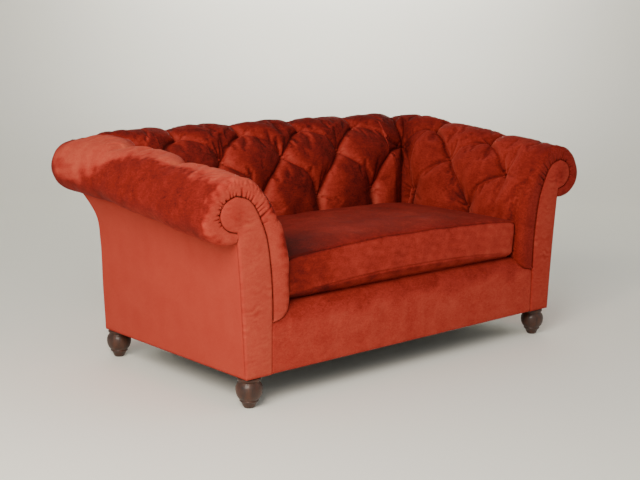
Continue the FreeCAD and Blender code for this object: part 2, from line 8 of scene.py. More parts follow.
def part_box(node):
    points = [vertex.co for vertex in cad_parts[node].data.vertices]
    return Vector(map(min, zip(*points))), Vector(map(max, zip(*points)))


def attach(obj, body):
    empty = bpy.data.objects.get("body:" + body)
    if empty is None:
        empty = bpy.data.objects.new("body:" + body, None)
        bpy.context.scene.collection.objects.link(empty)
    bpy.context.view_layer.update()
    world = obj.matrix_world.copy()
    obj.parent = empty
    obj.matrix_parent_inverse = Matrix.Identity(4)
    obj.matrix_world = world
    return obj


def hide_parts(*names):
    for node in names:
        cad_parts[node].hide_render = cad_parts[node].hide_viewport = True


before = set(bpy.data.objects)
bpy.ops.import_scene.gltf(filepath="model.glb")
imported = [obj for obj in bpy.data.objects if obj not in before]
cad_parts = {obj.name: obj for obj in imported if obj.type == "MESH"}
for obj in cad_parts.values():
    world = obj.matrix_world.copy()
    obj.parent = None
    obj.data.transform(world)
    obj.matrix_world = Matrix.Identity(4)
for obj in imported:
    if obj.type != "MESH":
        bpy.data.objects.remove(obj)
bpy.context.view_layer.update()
print("frame loaded", len(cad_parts), "nodes")

# The sizes that the covers share with the frame
sofa = {
    "halfBase": 712.5,
    "depth": 775.0,
    "bottom": 98.0,
    "frontPlane": -461.0,  # the front of the base, as y in the frame
    "overhang": 152.0,
    "rise": 68.0,  # the climb of the arms from the front to the back
    "riseStart": 42.3,  # place along the arm where it starts
    "riseShare": 0.8,  # how much of it is reached where the corner starts
    "riseLow": 262.0,  # heights between which it sets in
    "riseHigh": 387.0,
    "pivotIn": 185.0,  # the corner turns round a pivot that lies so far in
    "cornerRadius": 125.0,
    "squareReach": 247.0,  # up to so far from the pivot, the corner is square
    "armHalf": 541.5,
    "spacing": 280.0,  # from button to button
    "mitre": 712.0,  # place of column 2 along the arm
    "armStart": 2.436,  # the corner runs between these two columns
    "backEnd": 1.884,
}


def hexColour(code):
    # sRGB hex code to the linear colour that a shader takes
    parts = [int(code[i : i + 2], 16) / 255 for i in (1, 3, 5)]
    return tuple(c / 12.92 if c <= 0.04045 else ((c + 0.055) / 1.055) ** 2.4 for c in parts) + (1.0,)


def clamp(x):
    return np.clip(x, 0.0, 1.0)


def smooth(x):
    x = clamp(x)
    return x * x * (3 - 2 * x)


def bell(x, width, power=2):
    # 1 at x = 0, and nearly 0 beyond twice the width
    return np.exp(-((x / width) ** power))


def smoothLine(points, count):
    # A rounded line through the points, sampled at equal steps, and the length up to each sample
    p = np.array(points, float)
    p = np.vstack([2 * p[0] - p[1], p, 2 * p[-1] - p[-2]])
    knots = [0.0]
    for i in range(len(p) - 1):
        knots.append(knots[-1] + max(np.linalg.norm(p[i + 1][:2] - p[i][:2]), 1e-6) ** 0.5)
    dense = []
    for i in range(1, len(p) - 2):
        knot = knots[i - 1 : i + 3]
        for t in np.linspace(knot[1], knot[2], 24, endpoint=False):
            near = p[i - 1 : i + 3]
            for span in (1, 2):
                near = [
                    ((knot[k + span] - t) * near[k] + (t - knot[k]) * near[k + 1]) / (knot[k + span] - knot[k])
                    for k in range(len(near) - 1)
                ]
            dense.append(((knot[2] - t) * near[0] + (t - knot[1]) * near[1]) / (knot[2] - knot[1]))
    dense = np.array(dense + [p[-2]])
    length = np.append(0.0, np.cumsum(np.linalg.norm(np.diff(dense[:, :2], axis=0), axis=1)))
    want = np.linspace(0.0, length[-1], count)
    return np.stack([np.interp(want, length, values) for values in dense.T], axis=1), want


def lump(x, y, seed, size):
    # Soft, seeded unevenness between about -1 and 1
    rng = np.random.default_rng(seed)
    total = 0.0
    for _ in range(6):
        turn, phase, rate = rng.uniform(0, 2 * math.pi), rng.uniform(0, 2 * math.pi), rng.uniform(0.6, 1.6)
        total = total + np.sin((x * math.cos(turn) + y * math.sin(turn)) * rate * 2 * math.pi / size + phase)
    return total / 3.0


def meshPiece(name, points, faces, material, napAndPaintedLight=None, scale=0.001, wear=1.0):
    # A smooth-shaded mesh with its place in its points
    mesh = bpy.data.meshes.new(name)
    mesh.from_pydata((np.asarray(points) * scale).tolist(), [], faces)
    if napAndPaintedLight is not None:
        # the tone attribute holds the pile's lay together with painted light and painted shade
        for label, values in (("napAndPaintedLight", napAndPaintedLight), ("wear", np.full(len(points), wear))):
            layer = mesh.attributes.new(label, "FLOAT", "POINT")
            layer.data.foreach_set("value", np.asarray(values, np.float32))
    mesh.validate()
    mesh.polygons.foreach_set("use_smooth", [True] * len(mesh.polygons))
    mesh.update()
    piece = bpy.data.objects.new(name, mesh)
    bpy.context.scene.collection.objects.link(piece)
    piece.data.materials.append(material)
    return piece


def gridFaces(rows, columns, offset=0, flip=False):
    faces = []
    for i in range(rows - 1):
        for j in range(columns - 1):
            a = offset + i * columns + j
            quad = [a, a + columns, a + columns + 1, a + 1]
            faces.append(quad[::-1] if flip else quad)
    return faces


def outwards(piece):
    # Points the faces of a closed mesh outwards
    bm = bmesh.new()
    bm.from_mesh(piece.data)
    bmesh.ops.remove_doubles(bm, verts=bm.verts, dist=1e-6)
    bmesh.ops.recalc_face_normals(bm, faces=bm.faces)
    if bm.calc_volume(signed=True) < 0:
        bmesh.ops.reverse_faces(bm, faces=bm.faces)
    bm.to_mesh(piece.data)
    bm.free()
    piece.data.polygons.foreach_set("use_smooth", [True] * len(piece.data.polygons))
    return piece


def addNode(tree, kind, inputs=None, **settings):
    # An input is given as a value, a socket or a node, which stands for its first output
    node = tree.nodes.new(kind)
    for key, value in settings.items():
        setattr(node, key, value)
    for key, value in (inputs or {}).items():
        if isinstance(value, bpy.types.Node):
            value = value.outputs[0]
        if isinstance(value, bpy.types.NodeSocket):
            tree.links.new(value, node.inputs[key])
        else:
            node.inputs[key].default_value = value
    return node


def newMaterial(name):
    material = bpy.data.materials.new(name)
    material.use_nodes = True
    tree = material.node_tree
    tree.nodes.clear()
    shader = addNode(tree, "ShaderNodeBsdfPrincipled")
    addNode(tree, "ShaderNodeOutputMaterial", {"Surface": shader})
    return material, tree, shader, addNode(tree, "ShaderNodeTexCoord").outputs["Object"]


def finishShader(tree, shader, level, stops, height, strength, distance, values):
    # The level picks the colour, the height gives fine relief, and the values go in as they are
    colour = addNode(tree, "ShaderNodeValToRGB", {"Fac": level})
    while len(colour.color_ramp.elements) < len(stops):
        colour.color_ramp.elements.new(0.5)
    for element, (place, code) in zip(colour.color_ramp.elements, stops):
        element.position = place
        element.color = hexColour(code)
    bump = addNode(tree, "ShaderNodeBump", {"Height": height, "Strength": strength, "Distance": distance})
    tree.links.new(colour.outputs["Color"], shader.inputs["Base Color"])
    tree.links.new(bump.outputs[0], shader.inputs["Normal"])
    for key, value in values.items():
        shader.inputs[key].default_value = value


velvetLook = {
    "stops": [(0.0, "#4c110e"), (0.25, "#7c1f18"), (0.5, "#9c3227"), (0.75, "#ad4435"), (1.0, "#ba553f")],
    # size in mm, amount and noise settings of each pattern
    "patch": (90.9, 0.42, {"Detail": 5.0, "Roughness": 0.62, "Distortion": 0.9}),  # broad brushed patches
    "crush": (10.53, 0.52, {"Detail": 4.0, "Roughness": 0.62, "Distortion": 1.4}),  # crush marks
    # the pile is too fine to show, so its speckle is drawn this coarse
    "speck": (3.03, 0.22, {"Detail": 2.0, "Roughness": 0.6}),
    "shader": {
        "Roughness": 0.78,
        "Specular IOR Level": 0.06,
        "Sheen Weight": 0.02,
        "Sheen Roughness": 0.30,
        "Sheen Tint": hexColour("#ee7a55"),
    },
}


def makeVelvet(name, look, sizes=(1.0, 1.0, 1.0)):
    # Deep red pile that goes from wine to coral: the napAndPaintedLight attribute picks the tone, from the pile's lay
    # together with painted light and painted shade, and wear says how crushed it is
    material, tree, shader, place = newMaterial(name)
    level = addNode(tree, "ShaderNodeAttribute", attribute_name="napAndPaintedLight").outputs["Fac"]
    wear = addNode(tree, "ShaderNodeAttribute", attribute_name="wear").outputs["Fac"]
    stretch = addNode(tree, "ShaderNodeMapping", {"Vector": place, "Scale": (0.75, 0.75, 1.35)})
    noises = []
    for kind, vector, share in (("patch", place, sizes[0]), ("crush", stretch, sizes[1]), ("speck", place, sizes[2])):
        size, amount, settings = look[kind]
        settings = dict(settings, Vector=vector, Scale=1000 / (size * share))
        noises.append(addNode(tree, "ShaderNodeTexNoise", settings))
        centred = addNode(tree, "ShaderNodeMath", {0: noises[-1], 1: 0.5}, operation="SUBTRACT")
        worn = addNode(tree, "ShaderNodeMath", {0: centred, 1: wear}, operation="MULTIPLY")
        level = addNode(tree, "ShaderNodeMath", {0: worn, 1: amount, 2: level}, operation="MULTIPLY_ADD")
    fine = addNode(tree, "ShaderNodeMath", {0: noises[2], 1: 0.3}, operation="MULTIPLY")
    relief = addNode(tree, "ShaderNodeMath", {0: noises[1], 1: 0.7, 2: fine}, operation="MULTIPLY_ADD")
    finishShader(tree, shader, level, look["stops"], relief, 0.28, 0.0012, look["shader"])
    return material


def makeWood(name, dark, light, grain, gloss):
    # Grain sizes are in mm, longest along the piece; gloss is a lacquer coat
    material, tree, shader, place = newMaterial(name)
    long = addNode(tree, "ShaderNodeMapping", {"Vector": place, "Scale": [1000 / size for size in grain]})
    settings = {"Vector": long, "Scale": 1.0, "Detail": 6.0, "Roughness": 0.6, "Distortion": 0.7}
    rings = addNode(tree, "ShaderNodeTexNoise", settings)
    pores = addNode(tree, "ShaderNodeTexNoise", {"Vector": long, "Scale": 7.0, "Detail": 2.0})
    pores = addNode(tree, "ShaderNodeMath", {0: pores, 1: 0.25}, operation="MULTIPLY")
    both = addNode(tree, "ShaderNodeMath", {0: rings, 1: 0.75, 2: pores}, operation="MULTIPLY_ADD")
    values = {"Roughness": 0.62 - 0.3 * gloss, "Coat Weight": gloss, "Coat Roughness": 0.12}
    finishShader(tree, shader, both, [(0.32, dark), (0.68, light)], both, 0.12, 0.001, values)
    return material


def makeWeave(name, dark, light, thread):
    # A plain weave of two crossing sets of threads, so many mm apart
    material, tree, shader, place = newMaterial(name)
    apart = addNode(tree, "ShaderNodeSeparateXYZ", {"Vector": place})
    turns = 1000 / thread * 2 * math.pi
    waves = []
    for axis in ("X", "Y"):
        phase = addNode(tree, "ShaderNodeMath", {0: apart.outputs[axis], 1: turns}, operation="MULTIPLY")
        waves.append(addNode(tree, "ShaderNodeMath", {0: phase}, operation="SINE"))
    over = addNode(tree, "ShaderNodeMath", {0: waves[0], 1: waves[1]}, operation="MULTIPLY")
    fuzz = addNode(tree, "ShaderNodeTexNoise", {"Vector": place, "Scale": 300 / thread, "Detail": 4.0})
    level = addNode(tree, "ShaderNodeMath", {0: over, 1: 0.22, 2: fuzz}, operation="MULTIPLY_ADD")
    finishShader(tree, shader, level, [(0.2, dark), (0.8, light)], level, 0.4, 0.0006, {"Roughness": 0.9})
    return material


def makePlain(name, dark, light, size, roughness, metallic=0.0):
    # A slightly uneven surface, with patches of so many mm
    material, tree, shader, place = newMaterial(name)
    settings = {"Vector": place, "Scale": 1000 / size, "Detail": 5.0, "Roughness": 0.6}
    uneven = addNode(tree, "ShaderNodeTexNoise", settings)
    values = {"Roughness": roughness, "Metallic": metallic}
    finishShader(tree, shader, uneven, [(0.3, dark), (0.7, light)], uneven, 0.15, 0.0008, values)
    return material


velvet = makeVelvet("crushedVelvet", velvetLook)
# the same cloth drawn tight over the small buttons, so its marks are smaller
buttonVelvet = makeVelvet("buttonVelvet", velvetLook, (11 / 60, 95 / 190, 330 / 500))
# near-black brown with a close upright grain, and small highlights from a thin lacquer
turnedWood = makeWood("lacqueredTurnedWood", "#190903", "#4d250d", (16.67, 16.67, 111.1), 0.2)
# pale, dry, sawn timber
frameWood = makeWood("sawnFrameWood", "#a07c50", "#cfae7e", (125.0, 25.0, 25.0), 0.0)
# coarse brown sacking
hessian = makeWeave("hessian", "#6f5636", "#b59468", 1.111)
# thick golden straps with an open weave
juteWebbing = makeWeave("juteWebbing", "#8a7450", "#c7b083", 2.381)
# dull red lining cloth, flatter than the velvet beside it
deckCloth = makeWeave("deckCloth", "#571a12", "#8b3324", 0.7143)
# thin matt black cloth
cambric = makeWeave("blackCambric", "#0c0c0c", "#2a2a29", 0.5882)
# dull silver-grey plating
zincSteel = makePlain("zincPlatedSteel", "#8d8f92", "#c0c2c4", 16.67, 0.38, 1.0)
# dark, half-matt moulding
nylon = makePlain("mouldedNylon", "#1c1a18", "#33302c", 8.333, 0.5)
print("materials made")

# Outside of the full padding and, beside each point, the frame under it: in from the base's
# side, up from the floor, then the same for the frame
padPairs = [
    (99, 258, 99, 263),
    (142, 266, 100, 272),
    (164, 284, 99, 290),
    (171, 315, 98, 318),
    (171, 351, 97, 351),
    (167, 440, 90, 432),
    (152, 520, 76, 515),
    (116, 600, 52, 575),
    (67, 662, 26, 620),
    (31, 691, 5, 638),
    (-42, 706, -40, 650),
    (-112, 669, -80, 631),
    (-152, 600, -96, 598),
    (-147, 560, -90, 577),
    (-117, 529, -76, 560),
    (-84, 514, -62, 551),
    (-56, 509, -48, 547),
    (-32, 512, -34, 543),
]
buttonRowPoints = [(31, 691), (116, 600), (168, 428)]  # top, middle and lower row on the padding


def standing(column, u, z, side):
    # Places outline points of a column in the room: the column count runs from the middle of the
    # back, one a button, and passes the mitre at 2; a side of None takes the count's own side
    a = np.abs(column)
    y = sofa["mitre"] - (a - 2.0) * sofa["spacing"]
    angle = np.where(a >= 2.0, 45 * (sofa["armStart"] - a) / 0.436, 45 + 45 * (2.0 - a) / 0.116)
    angle = np.clip(angle, 0.0, 90.0)
    side = np.where(column < 0, -1, 1) if side is None else side
    pivotX = sofa["halfBase"] - sofa["pivotIn"]
    pivotY = sofa["depth"] - sofa["pivotIn"]
    onArm, onBack = a >= sofa["armStart"], a <= sofa["backEnd"]
    riseShare = sofa["riseShare"]
    upArm = riseShare * clamp((y - sofa["riseStart"]) / (pivotY - sofa["riseStart"]))
    share = np.where(onArm, upArm, np.minimum(1.0, riseShare + (1 - riseShare) * angle / 45.0))
    share = np.where(onBack, 1.0, share)
    turn = np.radians(angle)
    ox, oy = np.cos(turn), np.sin(turn)
    reach = sofa["pivotIn"] - u
    full = sofa["pivotIn"] + sofa["overhang"]
    rounding = np.maximum(0.0, reach - sofa["squareReach"])
    radius = sofa["cornerRadius"] * rounding / (full - sofa["squareReach"])
    far = reach / np.maximum(ox, oy)
    centre = reach - radius
    along = centre * (ox + oy)
    inside = np.maximum(along**2 - 2 * centre**2 + radius**2, 0.0)
    isRound = (far * np.minimum(ox, oy) > centre) & (radius > 0)
    far = np.where(isRound, along + np.sqrt(inside), far)
    px = np.where(onArm, sofa["halfBase"] - u, np.where(onBack, a * sofa["spacing"], pivotX + far * ox))
    py = np.where(onArm, y, np.where(onBack, sofa["depth"] - u, pivotY + far * oy))
    # the foot of the outline stays level
    pz = z + sofa["rise"] * share * clamp((z - sofa["riseLow"]) / (sofa["riseHigh"] - sofa["riseLow"]))
    return inFrame(side * px, py, pz)


def inFrame(x, y, z):
    return np.stack(np.broadcast_arrays(x, y + sofa["frontPlane"], z), axis=-1)


padLook = {
    "rows": 236,
    "innerEvery": 10,  # the hidden inner side has one row for so many of the outer one
    "frontDepth": 62.0,  # depth of the padding at the arm's front
    "farSeam": 600.0,  # stands for too far from the facing's seam to matter
    "fan": 50,  # columns between a mitre and the end of its corner
    "buttonDepth": 52.0,
    "pitDepth": 11.0,
    "pitWidth": 15.0,
    "pleatDepth": 35.0,
    "pleatWidth": 106.0,
    "crease": 8.0,  # half width of the narrow fold where two pillows meet
    "plump": 2.15,  # 2 makes round pillows, and more makes them fuller
    "lean": 0.36,  # how much deeper the pleats are on the one slant than on the other
    "softMiddle": 0.075,
    "arch": 0.07,  # how far a pleat bows up over the pillow below it, in button spacings
    "lastColumn": 4.0,  # past it there are no diamonds, only one soft pleat
    "overRoll": 128.0,  # how far the pleats run on over the roll
    "belowRow": 120.0,
    "foldDepth": 4.2,
    "cornerDrop": 19.0,
    "gathers": 21,
    "gatherDepth": 4.8,
    "pressure": 4.0,
    "slack": 0.035,
    "cap": 16.0,
    "shrink": 9.0,  # the shape starts smaller by so much, because the cloth swells
    "every": 2,  # the cloth takes one row and column in so many
    "frames": 20,
}

# The front of an arm's padding, as share of the padding's depth and place from front to back
frontProfile = [
    (0.0, 1.9), (0.02, -0.3), (0.11, -2.0), (0.34, -3.2), (0.58, -3.2),
    (0.78, -1.0), (0.91, 4.5), (0.98, 13.0), (1.0, 25.0),
]


def padOutline(rows):
    # The padding's section with its outward normals, and how far along it the button rows are
    pairs, length = smoothLine(padPairs, rows)
    outer, inner = pairs[:, :2], pairs[:, 2:]
    along = np.gradient(outer, axis=0)
    along /= np.linalg.norm(along, axis=1)[:, None]
    normal = np.stack([along[:, 1], -along[:, 0]], axis=1)
    marks = [length[np.argmin(np.linalg.norm(outer - np.array(p), axis=1))] for p in buttonRowPoints]
    return outer, inner, normal, length[None, :], marks


outer, inner, normal, run, rowMarks = padOutline(padLook["rows"])
topRow, middleRow, lowRow = rowMarks
runEnd = run[0, -1]
# 0 at the top row of buttons, 1 at the middle one and 2 at the lower one
upper, lower = topRow - middleRow, middleRow - lowRow
rowCount = np.where(run > middleRow, 1 - (run - middleRow) / upper, 1 + (middleRow - run) / lower)


def armColumns():
    # Column count, share of the padding's depth and distance from the facing's seam
    depth, ends = padLook["frontDepth"], frontProfile[-1][1]
    front, seamLength = smoothLine([(share * depth, y) for share, y in frontProfile], 46)
    y = np.concatenate([front[:, 1], np.arange(29.0, 590.0, 4.6)])
    swell = np.concatenate([front[:, 0] / depth, np.ones(len(y) - len(front))])
    seam = np.concatenate([seamLength, seamLength[-1] + y[len(front):] - ends])
    fan = np.linspace(sofa["armStart"], 2.0, padLook["fan"])
    count = np.concatenate([2 + (sofa["mitre"] - y) / sofa["spacing"], fan])
    more = np.ones(len(fan))
    return count, np.concatenate([swell, more]), np.concatenate([seam, more * padLook["farSeam"]])


def backColumns():
    fan = np.linspace(2.0, sofa["backEnd"], padLook["fan"])
    straight = np.linspace(sofa["backEnd"], 0, 114)[1:]
    half = np.concatenate([fan, straight])
    count = np.concatenate([-half, half[::-1][1:]])
    return count, np.ones(len(count)), np.full(len(count), padLook["farSeam"])


def pleats(c, perColumn, look, rng):
    # Two families of slanting folds between the buttons: their depths, the distance to the
    # nearest one and a painted highlight along its edge
    a, v = np.abs(c), rowCount
    vIn = np.clip(v, 0.0, 2.0)
    atMiddleRow = smooth((v - 0.8) / 0.4)
    slope = 0.5 / upper + (0.5 / lower - 0.5 / upper) * atMiddleRow
    slope = slope * smooth(v / 0.25) * smooth((2 - v) / 0.25)
    fromButton = np.clip(np.abs(vIn - np.round(vIn)), 0, 0.5)
    middle = np.sin(np.pi * fromButton) ** 0.8
    above = run - topRow
    fadeUp = (1 - 0.30 * smooth(above / 70)) * (1 - smooth((above - 62) / (look["overRoll"] - 40)))
    fadeDown = clamp(1 - (lowRow - run) / look["belowRow"]) ** 0.7
    beyond = smooth((a - look["lastColumn"]) / 0.16)
    fromMiddle = -np.clip(c / 0.2, -1, 1)  # the pleats lean away from the middle of the back
    slant = np.where(a > 2, clamp((a - 2) / 0.25), fromMiddle * clamp((2 - a) / 0.25))
    lines, nearest = [], np.full(np.broadcast_shapes(a.shape, v.shape), 1e3)
    shine = np.zeros(nearest.shape)
    for sign in (-1, 1):
        arch = sign * look["arch"] * np.sin(np.pi * vIn) ** 2 * np.where(v > 1, 1.0, 0.8)
        count = a + sign * vIn / 2 + 0.5 + arch
        which = (np.round(count) * 2 + np.floor(np.clip(vIn, 0, 1.99)) + 3).astype(int)
        uneven = rng.uniform(0.72, 1.12, 40)[np.clip(which, 0, 39)]
        distance = np.abs(count - np.round(count)) / np.sqrt(1 / perColumn**2 + slope**2)
        lean = sign * slant * clamp(vIn * 4) * (1.6 - 0.6 * atMiddleRow)
        leant = 1 - look["lean"] * lean
        deep = look["buttonDepth"] * (1 - middle) + look["pleatDepth"] * uneven * leant * middle
        deep = np.where(v < 0, look["buttonDepth"] * fadeUp, deep)
        deep = np.where(v > 2, look["buttonDepth"] * (0.35 + 0.65 * fadeDown), deep)
        width = look["pleatWidth"] - 26 * smooth(-v / 0.5)
        x = clamp(np.hypot(distance / width, look["softMiddle"] * middle))
        pillow = 1 - np.maximum(1 - (1 - x) ** look["plump"], 0.0) ** (1 / look["plump"])
        fold = bell(distance, look["crease"], 1.5)
        part = 0.03 + 0.15 * (1 - middle)
        # painted highlight along the pleat's edge, stronger on one slant
        edge = bell(distance, 4.0) * clamp(0.35 + lean) * middle
        shine = np.maximum(shine, edge * (vIn > 0) * (vIn < 2))
        lines.append(deep * ((1 - part) * pillow + part * fold) * (1 - beyond))
        nearest = np.minimum(nearest, distance + 200 * beyond)
    # one soft pleat from the last button to the front edge
    last = look["lastColumn"]
    reachOut = smooth((a - last + 0.03) / 0.06) * clamp((last + 0.42 - a) / 0.40)
    frontDistance = np.abs(run - middleRow + (a - last) * 55)
    x = clamp(frontDistance / 80.0)
    frontFold = 0.6 * (1 - x) ** 2.2 + 0.4 * bell(frontDistance, 7)
    lines.append(look["pleatDepth"] * 0.42 * reachOut * frontFold)
    return lines, nearest, shine * (1 - beyond)


def cornerFold(c, along, look):
    # A valley down each mitre, and a pleat over the roll on the back's side of it
    ends = [along[i] for i in (0, -1) if abs(abs(c[i, 0]) - 2.0) < 0.01]
    fromMitre = np.min([np.abs(along - end[None, :]) for end in ends], axis=0)
    reach = sofa["pivotIn"] - outer[None, :, 0]
    aside = 0.27 * reach * smooth((1.0 - rowCount) / 0.8)
    distance = np.where(np.abs(c) > 2.0, fromMitre + aside, np.abs(fromMitre - aside))
    over = clamp(1 - (run - topRow) / (look["overRoll"] * 1.25))
    highDepth = look["buttonDepth"] * (1 - 0.3 * smooth((1 - rowCount) / 0.6)) * over
    deep = np.where(rowCount > 1, look["buttonDepth"] * 0.8, highDepth)
    width = np.where(rowCount > 1, 60.0, 60.0 + 35.0 * smooth((1 - rowCount) / 0.5))
    x = clamp(distance / width)
    pillow = 1 - np.sqrt(np.maximum(1 - (1 - x) ** 2, 0.0))
    return deep * (0.75 * pillow + 0.25 * bell(distance, look["crease"], 1.5)), distance, fromMitre


def buttonSpots(count):
    # Row and column of every button between the ends of a pad
    spots = []
    outerRows = (0.5, 1.5, 2.5, 3.5)
    for row, columns in enumerate((outerRows, (0, 1, 2, 3, 4), outerRows)):
        for column in columns:
            for place in {-column, column}:
                if np.min(count) - 0.01 <= place <= np.max(count) + 0.01:
                    spots.append((row, place))
    return sorted(spots)


def fromSpot(spot, count, along):
    # How far each point is from a button, across and up
    row, at = spot
    return along - along[int(np.argmin(np.abs(count - at)))][None, :], run - rowMarks[row]


def buttonPits(spots, count, along, look, rng):
    # Each button draws its own pit, with folds that run out from it
    extra = np.zeros((len(count), run.shape[1]))
    for spot in spots:
        across, up = fromSpot(spot, count, along)
        r = np.hypot(across, up)
        theta = np.arctan2(up, across)
        extra = extra + look["pitDepth"] * bell(r, look["pitWidth"])
        for k in range(int(rng.integers(9, 13))):
            upward = k < 5
            angle = rng.uniform(0.28, 0.72) * math.pi if upward else rng.uniform(-math.pi, math.pi)
            length = rng.uniform(55, 105) if upward else rng.uniform(28, 62)
            length = length * (0.45, 0.95, 1.25)[spot[0]]
            deep = look["foldDepth"] * rng.uniform(0.5, 1.1)
            bend = rng.uniform(-0.5, 0.5)
            turn = theta - angle - bend * r / 100
            aside = r * np.abs(np.sin(turn))
            fade = smooth((r - 9) / 12) * (1 - smooth((r - 0.35 * length) / (0.65 * length)))
            extra = extra + deep * bell(aside, 2.6 + 0.045 * r) * (np.cos(turn) > 0) * fade
    return extra


def frontGathers(seam, look, rng):
    # Short folds that run out from the seam round the scroll, thin valleys between soft swells
    start, end = middleRow - 40, runEnd - 95
    turns = (run - start) / (end - start) * look["gathers"]
    turns = turns + 0.25 * np.sin(turns * 1.7) - 0.006 * seam * (1 + 0.5 * np.sin(turns * 0.9))
    sizes = rng.uniform(0.4, 1.25, 60)[np.round(turns).astype(int) % 60]
    inward = 1 + 0.7 * smooth((topRow - run) / 60)  # longer on the side of the seat
    off = np.abs(turns - np.round(turns)) * (end - start) / look["gathers"]
    within = smooth((run - start) / 30) * smooth((end - run) / 40)
    fade = clamp(1 - seam / (30.0 * sizes * inward)) ** 0.7 * smooth((seam + 1) / 4)
    return (bell(off, 3.4) - 0.18) * within * fade


def settle(points, outward, pinned, look):
    # Lets the cover settle as cloth between its buttons and seams, with the padding pressing out
    every = look["every"]
    takeI, takeJ = [np.unique(np.append(np.arange(0, size, every), size - 1)) for size in points.shape[:2]]
    coarse = points[takeI][:, takeJ]
    hold = pinned[takeI][:, takeJ]
    rows, columns = coarse.shape[:2]
    flat = coarse.reshape(-1, 3)
    crossed = np.cross(np.gradient(coarse, axis=0), np.gradient(coarse, axis=1))
    facesIn = bool(np.sum(crossed * outward[takeI][:, takeJ]) < 0)
    mesh = bpy.data.meshes.new("settling")
    mesh.from_pydata((flat * 0.001).tolist(), [], gridFaces(rows, columns, flip=facesIn))
    piece = bpy.data.objects.new("settling", mesh)
    bpy.context.scene.collection.objects.link(piece)
    group = piece.vertex_groups.new(name="pinned")
    level = np.round(hold.reshape(-1) * 10).astype(int)
    for value in range(1, 11):
        group.add(np.nonzero(level == value)[0].tolist(), value / 10, "REPLACE")
    cloth = piece.modifiers.new("cloth", "CLOTH")
    velvetCloth = {
        "quality": 5,
        "mass": 0.3,
        "tension_stiffness": 12.0,
        "compression_stiffness": 12.0,
        "shear_stiffness": 5.0,
        "bending_stiffness": 0.4,
        "use_pressure": True,
        "uniform_pressure_force": look["pressure"],
        "vertex_group_mass": "pinned",
        "shrink_min": -look["slack"],
    }
    for key, value in velvetCloth.items():
        setattr(cloth.settings, key, value)
    cloth.settings.effector_weights.gravity = 0.0
    cloth.point_cache.frame_start, cloth.point_cache.frame_end = 1, look["frames"]
    for frameNumber in range(1, look["frames"] + 1):
        bpy.context.scene.frame_set(frameNumber)
    graph = bpy.context.evaluated_depsgraph_get()
    moved = np.empty(len(flat) * 3)
    piece.evaluated_get(graph).data.vertices.foreach_get("co", moved)
    bpy.data.objects.remove(piece)
    bpy.context.scene.frame_set(1)
    move = moved.reshape(-1, 3) * 1000 - flat
    length = np.linalg.norm(move, axis=1, keepdims=True)
    mean, most = round(float(length.mean()), 2), round(float(length.max()), 1)
    print("settled", len(flat), "points, mean", mean, "mm, most", most)
    move = (move * np.minimum(1.0, look["cap"] / np.maximum(length, 1e-9))).reshape(coarse.shape)
    # back to the fine grid, along the rows and then along the columns
    allI, allJ = np.arange(points.shape[0]), np.arange(points.shape[1])
    wide = np.stack([[np.interp(allJ, takeJ, line[:, k]) for line in move] for k in range(3)], axis=-1)
    full = np.stack([[np.interp(allI, takeI, wide[:, j, k]) for j in allJ] for k in range(3)], axis=-1)
    return points + full.transpose(1, 0, 2)


